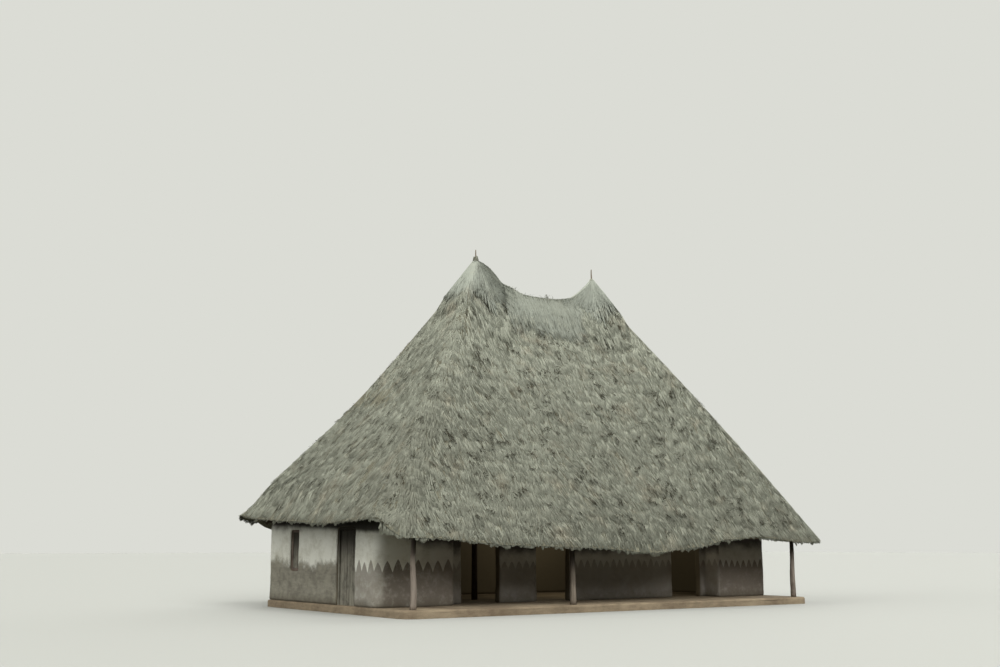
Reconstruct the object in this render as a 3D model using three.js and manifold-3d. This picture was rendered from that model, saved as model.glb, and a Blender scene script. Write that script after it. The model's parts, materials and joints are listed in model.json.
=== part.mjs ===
// A long house with whitewashed mud walls under one steep hipped roof of grass thatch.
// Millimetres, +Z up. The origin lies on the ground under the middle of the ridge. +X runs along the house,
// and the porch with its three doorways faces -Y.
import * as THREE from "three";
import { mergeVertices } from "three/addons/utils/BufferGeometryUtils.js";
import Module from "manifold-3d";

const wasm = await Module();
wasm.setup();

// Walls
const WALL_X = 6500; // outer face of both end walls
const WALL_FRONT = -2480; // outer face of the two end rooms
const WALL_BACK = 3350;
const WALL_THICK = 220;
const PORCH_Y = -1880; // outer face of the wall behind the porch
const LEFT_ROOM_X = -4340; // where the left room's front turns back into the porch
const RIGHT_ROOM_X = 4530;
const FRONT_WALL_TOP = 2500;
const BACK_INNER = WALL_BACK - WALL_THICK;
const CORNER_R = 330; // the mud corners are rounded by hand
const BACK_CORNER_R = 200;
const EDGE_R = 90;

// Ground platform
const FLOOR_Z = 180;
const FLOOR_LEDGE = 80; // platform seen beyond the walls
const FLOOR_FRONT = -3960;
const FLOOR_R = 400;

// Doorways and window
const DOORWAY_TOP = 1950;
const LINTEL_HIGH = 100;
const LINTEL_BEARING = 150;
const DOORWAYS = [
  { name: "left", from: -3750, to: -2590 },
  { name: "middle", from: -1430, to: -340 },
  { name: "right", from: 3300, to: 4400 },
];
const END_DOOR = { from: -1460, to: -530, top: 2030 };
const WINDOW = { from: 1550, to: 2050, bottom: 950, top: 1990 };
const FRAME_WIDE = 65;
const FRAME_DEEP = 110;
const DOOR_SETBACK = 55; // from the wall's face to the frame
const LEAF_THICK = 36;
const PIVOT_R = 25; // round stile that the door turns on
const MOVING_GAP = 6;
const TOUCH = 0.3; // gap between pieces that touch
const DOOR_AXIS = [
  -WALL_X + DOOR_SETBACK + FRAME_DEEP / 2,
  END_DOOR.to - FRAME_WIDE - MOVING_GAP - PIVOT_R,
];

// Roof outline, seen from above
const EAVE_X = 7260;
const EAVE_Y = 4240;
const EAVE_R = 750;
const RIDGE_HALF = 2090; // from the middle to each centre post
const POST_SLOT = 60; // half the slot that the posts pass through

// Roof heights
const RIDGE_Z = 8480; // top of the thatch under the saddle
const LEFT_APEX_RISE = 800; // the thatch climbs to a point at each end of the ridge
const RIGHT_APEX_RISE = 600;
const FRONT_NOMINAL = 1660;
const BACK_NOMINAL = 1760;
const LEFT_NOMINAL = 2190;
const RIGHT_NOMINAL = 1800;
const THATCH_DEEP = 400; // measured straight down
const LEFT_BOW = -220; // the left end is a little hollow, the right end swells
const RIGHT_BOW = 150;
const DROOP_FROM = 0.9; // share of the slope where the poles end and the eave hangs free
const STEP_FROM = 0.2; // share of the hip's turn where the end's eave height starts to change to the front's
const STEP_TO = 0.75;
const SADDLE_HALF = 420;
const SADDLE_DEEP = 130;
const SADDLE_CROSSINGS = 13;
const CAP_R = 900;
const CAP_EDGE = 110; // how deep the cap's edge stands on the thatch
const CAP_SHOULDER = 240; // how much fuller the left cap is on the side of the ridge
const CAP_HOLE_R = 45;
const CAP_RINGS = [CAP_HOLE_R, 180, 400, 650, CAP_R];
const CAP_TURNS = 20;
const LAYER_ROOT = 60; // how far a top layer is first drawn into the thatch that it is then cut to
const LAYER_GAP = 1;
const CAP_TIP = 9430;
const FINIAL_TOP = 9730;

// The eave sags where its beam does: points along the front and the back, x and height, and along the left end,
// y and height.
const FRONT_EAVE = [
  [-6160, 1750],
  [-3700, 1590],
  [-1300, 1530],
  [400, 1410],
  [2100, 1550],
  [3000, 1740],
  [4200, 1820],
  [6160, 1690],
];
const BACK_EAVE = [
  [-6160, 2230],
  [-4600, 2010],
  [-2300, 1740],
  [0, 1690],
  [3400, 1770],
  [6160, 1820],
];
const LEFT_EAVE = [
  [-3490, 2180],
  [-2400, 2150],
  [-1400, 2090],
  [1000, 2160],
  [2400, 2240],
  [3490, 2340],
];

// How finely the roof's faces are divided
const THATCH_ROWS = [0, 0.08, 0.17, 0.3, 0.45, 0.6, 0.75, DROOP_FROM, 0.95, 1];
const LONG_COLUMNS = 23;
const END_COLUMNS = 9;
const HIP_COLUMNS = 5;
const LOG_SIDES = 12;

// Poles
const RAFTER = 90; // width and depth
const PURLIN = 60;
const WALL_SHY = 45; // the walls stop this far under the poles
const POLE_LAP = 25; // how deep the purlins are let into the rafters
const PLATE_R = 60;
const END_PLATE_REACH = 2350;
const BACK_PLATE_REACH = 5000;
const BEAM_R = 58;
const BEAM_REACH = 6360;
const LONG_RAFTERS = 10;
const END_RAFTERS = 5;
const LONG_SPREAD = 0.975; // share of the face that its rafters cover
const END_SPREAD = 0.85;
const LONG_RAFTER_TOP = 0.012; // share of the slope where a rafter starts
const END_RAFTER_TOP = 0.1;
const HIP_RAFTER_TOP = 0.28;
const HIP_TURN = 0.5; // the hip rafter runs down the middle of the hip
const PURLIN_ROWS = [0.15, 0.3, 0.45, 0.6, 0.75, 0.88];
const HIP_SHY = 130; // how far a hip's purlins stop short of the next face
const HIP_SINK = 26; // the short purlins that turn round a hip lie deeper than the straight ones
const CENTRE_POST_FOOT_R = 85;
const CENTRE_POST_HEAD_R = 40;
const FINIAL_NECK = 150;
const FINIAL_R = 28;
const FINIAL_TIP_R = 16;
const VERANDA_Y = -3680;
const VERANDA_POSTS = { left: -6220, middle: -1690, right: 6220 };
const POST_FOOT_R = 75;
const POST_HEAD_R = 62;

// Colours
const WHITEWASH = 0xb9baa9;
const EARTH = 0x7d6a55;
const TIMBER = 0x6b5b49;
const THATCH = 0x97957c;
const CAP_THATCH = 0xa9ab95;

const house = new THREE.Group();

function addPiece(name, geometry, colour, roughness = 0.95) {
  const material = new THREE.MeshStandardMaterial({ color: colour, roughness, metalness: 0 });
  const mesh = new THREE.Mesh(geometry, material);
  mesh.name = name;
  house.add(mesh);
  return mesh;
}

// Joining and cutting

function solidOf(geometry) {
  const bare = geometry.clone();
  bare.deleteAttribute("normal");
  bare.deleteAttribute("uv");
  const merged = mergeVertices(bare, 1e-3);
  return new wasm.Manifold(
    new wasm.Mesh({
      numProp: 3,
      vertProperties: new Float32Array(merged.attributes.position.array),
      triVerts: new Uint32Array(merged.index.array),
    }),
  );
}

function geometryOf(solid) {
  const mesh = solid.getMesh();
  const geometry = new THREE.BufferGeometry();
  geometry.setAttribute("position", new THREE.BufferAttribute(new Float32Array(mesh.vertProperties), 3));
  geometry.setIndex(new THREE.BufferAttribute(new Uint32Array(mesh.triVerts), 1));
  geometry.computeVertexNormals();
  return geometry;
}

function join(geometries) {
  return geometryOf(geometries.map(solidOf).reduce((sum, next) => sum.add(next)));
}

function cutSolid(geometry, tools) {
  return tools.map(solidOf).reduce((rest, tool) => rest.subtract(tool), solidOf(geometry));
}

function cut(geometry, tools) {
  return geometryOf(cutSolid(geometry, tools));
}

// The largest body that is left after a cut.
function cutToOne(geometry, tools) {
  const bodies = cutSolid(geometry, tools).decompose();
  return geometryOf(bodies.reduce((best, body) => (body.volume() > best.volume() ? body : best)));
}

// Basic shapes

function block(x0, x1, y0, y1, z0, z1) {
  const geometry = new THREE.BoxGeometry(x1 - x0, y1 - y0, z1 - z0);
  return geometry.translate((x0 + x1) / 2, (y0 + y1) / 2, (z0 + z1) / 2);
}

function upright(shape, z0, z1) {
  const options = { depth: z1 - z0, bevelEnabled: false, curveSegments: 6 };
  return new THREE.ExtrudeGeometry(shape, options).translate(0, 0, z0);
}

// A straight pole between two points.
function pole(from, to, radius, sides = 4) {
  const along = new THREE.Vector3().subVectors(to, from);
  const geometry = new THREE.CylinderGeometry(radius, radius, along.length(), sides);
  const upward = new THREE.Vector3(0, 1, 0);
  const turn = new THREE.Quaternion().setFromUnitVectors(upward, along.clone().normalize());
  const middle = new THREE.Vector3().addVectors(from, to).multiplyScalar(0.5);
  return geometry.applyQuaternion(turn).translate(middle.x, middle.y, middle.z);
}

function post(x, y, profile, sides = 10) {
  const points = profile.map(([radius, z]) => new THREE.Vector2(radius, z));
  const geometry = new THREE.LatheGeometry(points, sides);
  return geometry.rotateX(Math.PI / 2).translate(x, y, 0);
}

function curveHeight(points, x) {
  const last = points.length - 1;
  if (x <= points[0][0]) return points[0][1];
  if (x >= points[last][0]) return points[last][1];
  const i = points.findIndex((point) => point[0] > x) - 1;
  const share = (x - points[i][0]) / (points[i + 1][0] - points[i][0]);
  const eased = share * share * (3 - 2 * share);
  return THREE.MathUtils.lerp(points[i][1], points[i + 1][1], eased);
}

// The roof's surface. A column is one line from the ridge down to the eave.

const apexRise = (end) => (end < 0 ? LEFT_APEX_RISE : RIGHT_APEX_RISE);

function frontColumn(side, share) {
  const points = side < 0 ? FRONT_EAVE : BACK_EAVE;
  const eaveX = share * (EAVE_X - EAVE_R);
  return {
    top: [share * RIDGE_HALF, side * POST_SLOT],
    eave: [eaveX, side * EAVE_Y],
    rise: apexRise(share) * Math.abs(share) ** 3,
    bow: THREE.MathUtils.lerp(LEFT_BOW, RIGHT_BOW, (share + 1) / 2),
    nominal: side < 0 ? FRONT_NOMINAL : BACK_NOMINAL,
    height: curveHeight(points, eaveX),
    angle: Math.PI / 2,
  };
}

function endColumn(end, share) {
  const eaveY = share * (EAVE_Y - EAVE_R);
  return {
    top: [end * (RIDGE_HALF + POST_SLOT), 0],
    eave: [end * EAVE_X, eaveY],
    rise: apexRise(end),
    bow: end < 0 ? LEFT_BOW : RIGHT_BOW,
    nominal: end < 0 ? LEFT_NOMINAL : RIGHT_NOMINAL,
    height: end < 0 ? curveHeight(LEFT_EAVE, eaveY) : RIGHT_NOMINAL,
    angle: 0,
  };
}

// Rounded hip: turn is 0 where it leaves the end face and 1 where it meets the long face.
function hipColumn(end, side, turn) {
  const angle = (turn * Math.PI) / 2;
  const across = endColumn(end, side);
  const along = frontColumn(side, end);
  const step = THREE.MathUtils.smoothstep(turn, STEP_FROM, STEP_TO);
  return {
    top: [end * (RIDGE_HALF + POST_SLOT * Math.cos(angle)), side * POST_SLOT * Math.sin(angle)],
    eave: [
      end * (EAVE_X - EAVE_R + EAVE_R * Math.cos(angle)),
      side * (EAVE_Y - EAVE_R + EAVE_R * Math.sin(angle)),
    ],
    rise: apexRise(end),
    bow: across.bow,
    nominal: THREE.MathUtils.lerp(across.nominal, along.nominal, turn),
    height: THREE.MathUtils.lerp(across.height, along.height, step),
    angle,
  };
}

function planAt(column, t) {
  return [
    THREE.MathUtils.lerp(column.top[0], column.eave[0], t),
    THREE.MathUtils.lerp(column.top[1], column.eave[1], t),
  ];
}

function nominalHeight(column, t) {
  return THREE.MathUtils.lerp(RIDGE_Z, column.nominal, t);
}

function outerPoint(column, t) {
  const [x, y] = planAt(column, t);
  const droop = Math.max(0, (t - DROOP_FROM) / (1 - DROOP_FROM)) ** 2;
  const swell = column.rise * (1 - t) + column.bow * 4 * t * (1 - t);
  const z = nominalHeight(column, t) + swell + droop * (column.height - column.nominal);
  return new THREE.Vector3(x, y, z);
}

// The underside follows the poles, and ends level with the outer edge of the eave.
function innerPoint(column, t) {
  const last = 1 - THATCH_DEEP / (RIDGE_Z - column.nominal);
  if (t <= DROOP_FROM) {
    const [x, y] = planAt(column, t);
    return new THREE.Vector3(x, y, nominalHeight(column, t) - THATCH_DEEP);
  }
  const share = (t - DROOP_FROM) / (1 - DROOP_FROM);
  const s = THREE.MathUtils.lerp(DROOP_FROM, last, share);
  const [x, y] = planAt(column, s);
  const droop = share * share * (column.height - column.nominal);
  return new THREE.Vector3(x, y, nominalHeight(column, s) - THATCH_DEEP + droop);
}

// A closed slab over a run of columns, between the points that two functions give.
function slab(columns, rows, outerAt, innerAt) {
  const outer = columns.map((column) => rows.map((t) => outerAt(column, t)));
  const inner = columns.map((column) => rows.map((t) => innerAt(column, t)));
  const positions = [];
  const face = (...corners) => {
    for (let i = 1; i + 1 < corners.length; i += 1) {
      const [a, b, c] = [corners[0], corners[i], corners[i + 1]];
      const flat = a.distanceTo(b) < 1e-3 || b.distanceTo(c) < 1e-3 || c.distanceTo(a) < 1e-3;
      if (!flat) positions.push(...a.toArray(), ...b.toArray(), ...c.toArray());
    }
  };
  const lastColumn = columns.length - 1;
  const lastRow = rows.length - 1;
  for (let i = 0; i < lastColumn; i += 1) {
    for (let j = 0; j < lastRow; j += 1) {
      face(outer[i][j], outer[i][j + 1], outer[i + 1][j + 1], outer[i + 1][j]);
      face(inner[i][j], inner[i + 1][j], inner[i + 1][j + 1], inner[i][j + 1]);
    }
    face(outer[i][0], outer[i + 1][0], inner[i + 1][0], inner[i][0]);
    face(outer[i][lastRow], inner[i][lastRow], inner[i + 1][lastRow], outer[i + 1][lastRow]);
  }
  for (let j = 0; j < lastRow; j += 1) {
    face(outer[0][j], inner[0][j], inner[0][j + 1], outer[0][j + 1]);
    face(outer[lastColumn][j], outer[lastColumn][j + 1], inner[lastColumn][j + 1], inner[lastColumn][j]);
  }
  const geometry = new THREE.BufferGeometry();
  geometry.setAttribute("position", new THREE.Float32BufferAttribute(positions, 3));
  geometry.computeVertexNormals();
  return geometry;
}

function thatchSlab(columns, shift) {
  const outerAt = (column, t) => outerPoint(column, t).add(shift);
  const innerAt = (column, t) => innerPoint(column, t).add(shift);
  return slab(columns, THATCH_ROWS, outerAt, innerAt);
}

function spread(count, from, to) {
  return Array.from({ length: count }, (_, i) => THREE.MathUtils.lerp(from, to, i / (count - 1)));
}

function longColumns(side) {
  const shares = spread(LONG_COLUMNS, -1, 1).map((share) => frontColumn(side, share));
  return side < 0 ? shares : shares.reverse();
}

function endColumns(end) {
  const first = spread(HIP_COLUMNS, 1, 0).map((turn) => hipColumn(end, -end, turn));
  const middle = spread(END_COLUMNS, -end, end).slice(1, -1).map((share) => endColumn(end, share));
  const last = spread(HIP_COLUMNS, 0, 1).map((turn) => hipColumn(end, end, turn));
  return [...first, ...middle, ...last];
}

// The height of the thatch over a point of the plan
function roofHeight(x, y) {
  const end = x < 0 ? -1 : 1;
  const side = y < 0 ? -1 : 1;
  const [ax, ay] = [Math.abs(x), Math.abs(y)];
  const [cx, cy] = [EAVE_X - EAVE_R - RIDGE_HALF, EAVE_Y - EAVE_R];
  const along = Math.max(0, (ay - POST_SLOT) / (EAVE_Y - POST_SLOT));
  const halfAlong = RIDGE_HALF + along * cx;
  if (ax <= halfAlong) return outerPoint(frontColumn(side, x / halfAlong), along).z;
  const across = Math.max(0, (ax - RIDGE_HALF - POST_SLOT) / (EAVE_X - RIDGE_HALF - POST_SLOT));
  if (ay <= across * cy) return outerPoint(endColumn(end, across > 0 ? y / (across * cy) : 0), across).z;
  const [qx, qy] = [ax - RIDGE_HALF, ay];
  const grow = EAVE_R - POST_SLOT;
  const a = cx * cx + cy * cy - grow * grow;
  const b = qx * cx + qy * cy + POST_SLOT * grow;
  const c = qx * qx + qy * qy - POST_SLOT * POST_SLOT;
  const t = Math.max(0, (b - Math.sqrt(Math.max(0, b * b - a * c))) / a);
  const turn = Math.atan2(qy - t * cy, qx - t * cx) / (Math.PI / 2);
  return outerPoint(hipColumn(end, side, THREE.MathUtils.clamp(turn, 0, 1)), t).z;
}

// A closed layer between two height functions over a grid of plan points. ring closes the grid on itself.
function layer(grid, low, high, ring) {
  const bottom = grid.map((row) => row.map(([x, y, u]) => new THREE.Vector3(x, y, low(x, y, u))));
  const top = grid.map((row) => row.map(([x, y, u]) => new THREE.Vector3(x, y, high(x, y, u))));
  const positions = [];
  const quad = (a, b, c, d) => {
    positions.push(...a.toArray(), ...b.toArray(), ...c.toArray());
    positions.push(...a.toArray(), ...c.toArray(), ...d.toArray());
  };
  const rows = grid.length;
  const across = grid[0].length;
  for (let i = 0; i < (ring ? rows : rows - 1); i += 1) {
    const k = (i + 1) % rows;
    for (let j = 0; j + 1 < across; j += 1) {
      quad(top[i][j], top[i][j + 1], top[k][j + 1], top[k][j]);
      quad(bottom[i][j], bottom[k][j], bottom[k][j + 1], bottom[i][j + 1]);
    }
    quad(top[i][0], top[k][0], bottom[k][0], bottom[i][0]);
    quad(top[i][across - 1], bottom[i][across - 1], bottom[k][across - 1], top[k][across - 1]);
  }
  if (!ring) {
    for (let j = 0; j + 1 < across; j += 1) {
      quad(top[0][j], bottom[0][j], bottom[0][j + 1], top[0][j + 1]);
      quad(top[rows - 1][j], top[rows - 1][j + 1], bottom[rows - 1][j + 1], bottom[rows - 1][j]);
    }
  }
  const geometry = new THREE.BufferGeometry();
  geometry.setAttribute("position", new THREE.Float32BufferAttribute(positions, 3));
  return geometry;
}

// The thatch without its gaps, lifted a little, to cut the layers on top of it.
function liftedThatch() {
  const lift = new THREE.Vector3(0, 0, LAYER_GAP);
  const faces = [longColumns(-1), longColumns(1), endColumns(-1), endColumns(1)];
  return faces.map((columns) => thatchSlab(columns, lift));
}

function capGeometry(end) {
  const centre = end * RIDGE_HALF;
  const grid = Array.from({ length: CAP_TURNS }, (_, i) => {
    const angle = (2 * Math.PI * i) / CAP_TURNS;
    return CAP_RINGS.map((d) => [centre + d * Math.cos(angle), d * Math.sin(angle), d]);
  });
  const tipLift = CAP_TIP - RIDGE_Z - apexRise(end);
  const low = (x, y) => roofHeight(x, y) - LAYER_ROOT;
  const shoulder = (x, d) => (end < 0 ? CAP_SHOULDER * Math.max(0, (x - centre) / d) : 0);
  const high = (x, y, d) => {
    const thick = THREE.MathUtils.lerp(tipLift, CAP_EDGE, d / CAP_R);
    return roofHeight(x, y) + thick + shoulder(x, d) * Math.sin((Math.PI * d) / CAP_R);
  };
  return cutToOne(layer(grid, low, high, true), liftedThatch());
}

function saddleGeometry() {
  const widths = [SADDLE_HALF, POST_SLOT, 0, -POST_SLOT, -SADDLE_HALF];
  const grid = spread(SADDLE_CROSSINGS, -RIDGE_HALF, RIDGE_HALF).map((x) => widths.map((y) => [x, y]));
  const low = (x, y) => roofHeight(x, y) - LAYER_ROOT;
  const high = (x, y) => roofHeight(x, y) + SADDLE_DEEP;
  const clear = CAP_R + LAYER_GAP;
  const underCap = [[0, 0], [clear, 0], [clear, FINIAL_TOP], [0, FINIAL_TOP]];
  const holes = [-1, 1].map((end) => post(end * RIDGE_HALF, 0, underCap, CAP_TURNS));
  return cutToOne(layer(grid, low, high, false), [...liftedThatch(), ...holes]);
}

function makeThatch() {
  addPiece("front_thatch", thatchSlab(longColumns(-1), new THREE.Vector3(0, -TOUCH, 0)), THATCH);
  addPiece("back_thatch", thatchSlab(longColumns(1), new THREE.Vector3(0, TOUCH, 0)), THATCH);
  addPiece("left_thatch", thatchSlab(endColumns(-1), new THREE.Vector3(-TOUCH, 0, 0)), THATCH);
  addPiece("right_thatch", thatchSlab(endColumns(1), new THREE.Vector3(TOUCH, 0, 0)), THATCH);
  addPiece("ridge_thatch", saddleGeometry(), THATCH);
  addPiece("left_cap", capGeometry(-1), CAP_THATCH);
  addPiece("right_cap", capGeometry(1), CAP_THATCH);
}

// Poles under the thatch. Depth is measured square to the roof's face, from the underside of the thatch.

function faceRun(column) {
  const angle = column.angle;
  const [cx, cy] = [EAVE_X - EAVE_R - RIDGE_HALF, EAVE_Y - EAVE_R];
  return cx * Math.cos(angle) + cy * Math.sin(angle) + EAVE_R - POST_SLOT;
}

function polePoint(column, t, depth) {
  const slope = (RIDGE_Z - column.nominal) / faceRun(column);
  const [x, y] = planAt(column, t);
  return new THREE.Vector3(x, y, nominalHeight(column, t) - THATCH_DEEP - depth * Math.hypot(1, slope));
}

function faceNormal(a, b, c) {
  const normal = new THREE.Vector3().subVectors(b, a).cross(new THREE.Vector3().subVectors(c, a)).normalize();
  return normal.z < 0 ? normal.negate() : normal;
}

// A square bar between two points, with one face turned to the thatch.
function bar(from, to, size, normal, spare = 0) {
  const along = new THREE.Vector3().subVectors(to, from);
  const length = along.length() + 2 * spare;
  along.normalize();
  const across = new THREE.Vector3().crossVectors(normal, along).normalize();
  const up = new THREE.Vector3().crossVectors(along, across);
  const middle = new THREE.Vector3().addVectors(from, to).multiplyScalar(0.5);
  const place = new THREE.Matrix4().makeBasis(along, across, up).setPosition(middle);
  return new THREE.BoxGeometry(length, size, size).applyMatrix4(place);
}

const PURLIN_DEPTH = PURLIN / 2 + TOUCH;
const RAFTER_DEPTH = PURLIN + RAFTER / 2 - POLE_LAP + TOUCH;
const POLES_UNDER = RAFTER_DEPTH + RAFTER / 2;
const RAFTER_END = DROOP_FROM - 0.01;

function rafter(column, beside, from) {
  const [top, foot] = [from, RAFTER_END].map((t) => polePoint(column, t, RAFTER_DEPTH));
  return bar(top, foot, RAFTER, faceNormal(top, foot, polePoint(beside, RAFTER_END, RAFTER_DEPTH)));
}

function purlin(first, last, t, spare, sink = 0) {
  const [a, b] = [first, last].map((column) => polePoint(column, t, PURLIN_DEPTH + sink));
  return bar(a, b, PURLIN, faceNormal(a, b, polePoint(last, 1, PURLIN_DEPTH)), spare);
}

function longLattice(side) {
  const columns = spread(LONG_RAFTERS, -LONG_SPREAD, LONG_SPREAD).map((share) => frontColumn(side, share));
  const rafters = columns.map((column, i) => rafter(column, columns[i === 0 ? 1 : i - 1], LONG_RAFTER_TOP));
  const purlins = PURLIN_ROWS.map((t) => purlin(columns[0], columns.at(-1), t, RAFTER / 2));
  return join([...rafters, ...purlins]);
}

function endLattice(end) {
  const columns = spread(END_RAFTERS, -END_SPREAD, END_SPREAD).map((share) => endColumn(end, share));
  const bars = columns.map((column, i) => rafter(column, columns[i === 0 ? 1 : i - 1], END_RAFTER_TOP));
  PURLIN_ROWS.forEach((t) => bars.push(purlin(endColumn(end, -1), endColumn(end, 1), t, 0)));
  for (const side of [-1, 1]) {
    const foot = endColumn(end, side);
    const hip = hipColumn(end, side, HIP_TURN);
    bars.push(rafter(hip, foot, HIP_RAFTER_TOP));
    for (const t of PURLIN_ROWS.slice(1)) {
      const curve = THREE.MathUtils.lerp(POST_SLOT, EAVE_R, t) * (Math.PI / 2);
      bars.push(purlin(foot, hip, t, PURLIN / 4, HIP_SINK));
      bars.push(purlin(hip, hipColumn(end, side, 1 - HIP_SHY / curve), t, PURLIN / 4, HIP_SINK));
    }
  }
  return join(bars);
}

// What the roof's poles and thatch take up, and all above it: the mud walls are built up to this.
function roofMass(columns) {
  const low = (column, t) => polePoint(column, t, POLES_UNDER + WALL_SHY);
  const high = (column, t) => low(column, t).add(new THREE.Vector3(0, 0, RIDGE_Z));
  return slab(columns, [PURLIN_ROWS[3], 1], high, low);
}

// How high a round log may lie under the rafters of a face, at a distance from the ridge's slot.
function logUnder(column, t, radius) {
  const slope = (RIDGE_Z - column.nominal) / faceRun(column);
  return polePoint(column, t, POLES_UNDER + TOUCH).z - radius * Math.hypot(1, slope);
}

const middleShare = (distance, reach) => (distance - POST_SLOT) / (reach - POST_SLOT);
const BEAM_Z = logUnder(frontColumn(-1, 0), middleShare(-VERANDA_Y, EAVE_Y), BEAM_R);
const BACK_PLATE_Y = WALL_BACK - WALL_THICK / 2;
const BACK_PLATE_Z = logUnder(frontColumn(1, 0), middleShare(BACK_PLATE_Y, EAVE_Y), PLATE_R);
const END_PLATE_X = WALL_X - WALL_THICK / 2;
const END_SHARE = middleShare(END_PLATE_X - RIDGE_HALF, EAVE_X - RIDGE_HALF);
const LEFT_PLATE_Z = logUnder(endColumn(-1, 0), END_SHARE, PLATE_R);
const RIGHT_PLATE_Z = logUnder(endColumn(1, 0), END_SHARE, PLATE_R);
const LEFT_WALL_TOP = LEFT_PLATE_Z - PLATE_R - TOUCH;
const RIGHT_WALL_TOP = RIGHT_PLATE_Z - PLATE_R - TOUCH;
const BACK_WALL_TOP = BACK_PLATE_Z - PLATE_R - TOUCH;

function along(x0, x1, y, z, radius) {
  return pole(new THREE.Vector3(x0, y, z), new THREE.Vector3(x1, y, z), radius, LOG_SIDES);
}

function makePoles() {
  addPiece("front_rafters", longLattice(-1), TIMBER);
  addPiece("back_rafters", longLattice(1), TIMBER);
  addPiece("left_rafters", endLattice(-1), TIMBER);
  addPiece("right_rafters", endLattice(1), TIMBER);
  const postAt = [
    [0, FLOOR_Z + TOUCH],
    [CENTRE_POST_FOOT_R, FLOOR_Z + TOUCH],
    [CENTRE_POST_HEAD_R, RIDGE_Z - THATCH_DEEP],
    [CENTRE_POST_HEAD_R, CAP_TIP - FINIAL_NECK],
    [FINIAL_R, CAP_TIP],
    [FINIAL_TIP_R, FINIAL_TOP],
    [0, FINIAL_TOP],
  ];
  addPiece("left_centre_post", post(-RIDGE_HALF, 0, postAt, LOG_SIDES), TIMBER);
  addPiece("right_centre_post", post(RIDGE_HALF, 0, postAt, LOG_SIDES), TIMBER);
  const underFace = (side) => logUnder(frontColumn(side, 0), middleShare(0, EAVE_Y), PLATE_R);
  const ridgeZ = Math.min(underFace(-1), underFace(1));
  const rise = (ridgeZ - PLATE_R - FLOOR_Z) / (RIDGE_Z - THATCH_DEEP - FLOOR_Z);
  const postR = THREE.MathUtils.lerp(CENTRE_POST_FOOT_R, CENTRE_POST_HEAD_R, rise);
  const reach = RIDGE_HALF - postR - TOUCH;
  addPiece("ridge_pole", along(-reach, reach, 0, ridgeZ, PLATE_R), TIMBER);
  addPiece("veranda_beam", along(-BEAM_REACH, BEAM_REACH, VERANDA_Y, BEAM_Z, BEAM_R), TIMBER);
  for (const [name, x] of Object.entries(VERANDA_POSTS)) {
    const head = BEAM_Z - BEAM_R - TOUCH;
    const profile = [[0, FLOOR_Z + TOUCH], [POST_FOOT_R, FLOOR_Z + TOUCH], [POST_HEAD_R, head], [0, head]];
    addPiece(`veranda_post_${name}`, post(x, VERANDA_Y, profile), TIMBER);
  }
}

// Walls

function planShape(points) {
  const shape = new THREE.Shape();
  points.forEach((point, i) => {
    if (point.round) shape.quadraticCurveTo(point.corner[0], point.corner[1], point.round[0], point.round[1]);
    else if (i === 0) shape.moveTo(point[0], point[1]);
    else shape.lineTo(point[0], point[1]);
  });
  return shape;
}

// An end wall with its rounded front corner, up to where the end room's front starts.
function endWithCorner(end, from, side, outerY) {
  const innerX = end * (WALL_X - WALL_THICK);
  const outerX = end * WALL_X;
  const innerY = outerY - side * WALL_THICK;
  const stop = end * (WALL_X - CORNER_R);
  return planShape([
    [innerX, from],
    [outerX, from],
    [outerX, outerY - side * CORNER_R],
    { corner: [outerX, outerY], round: [stop, outerY] },
    [stop, innerY],
    [innerX, innerY],
  ]);
}

// The front of an end room and its short return to the porch wall.
function roomWall(end, returnX) {
  const start = end * (WALL_X - CORNER_R - TOUCH);
  const inside = returnX + end * WALL_THICK;
  return planShape([
    [start, WALL_FRONT],
    [returnX + end * EDGE_R, WALL_FRONT],
    { corner: [returnX, WALL_FRONT], round: [returnX, WALL_FRONT + EDGE_R] },
    [returnX, PORCH_Y - TOUCH],
    [inside, PORCH_Y - TOUCH],
    [inside, WALL_FRONT + WALL_THICK],
    [start, WALL_FRONT + WALL_THICK],
  ]);
}

const BASE = FLOOR_Z + TOUCH;

function grown(x0, x1, y0, y1, z0, z1, spare = TOUCH) {
  return block(x0 - spare, x1 + spare, y0 - spare, y1 + spare, z0 - spare, z1 + spare);
}

function makeEndWall() {
  const windowHole = grown(
    -WALL_X - WALL_THICK, -WALL_X + 2 * WALL_THICK, WINDOW.from, WINDOW.to, WINDOW.bottom, WINDOW.top, 0,
  );
  const back = block(-WALL_X, -WALL_X + WALL_THICK, END_DOOR.to, BACK_INNER - TOUCH, BASE, LEFT_WALL_TOP);
  addPiece("left_wall_back", cut(back, [windowHole, roofMass(endColumns(-1))]), WHITEWASH);
  const front = upright(endWithCorner(-1, END_DOOR.from, -1, WALL_FRONT), BASE, LEFT_WALL_TOP);
  addPiece("left_wall_front", front, WHITEWASH);
  const over = block(
    -WALL_X, -WALL_X + WALL_THICK,
    END_DOOR.from + TOUCH, END_DOOR.to - TOUCH,
    END_DOOR.top, LEFT_WALL_TOP,
  );
  addPiece("left_wall_over_door", over, WHITEWASH);
}

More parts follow.
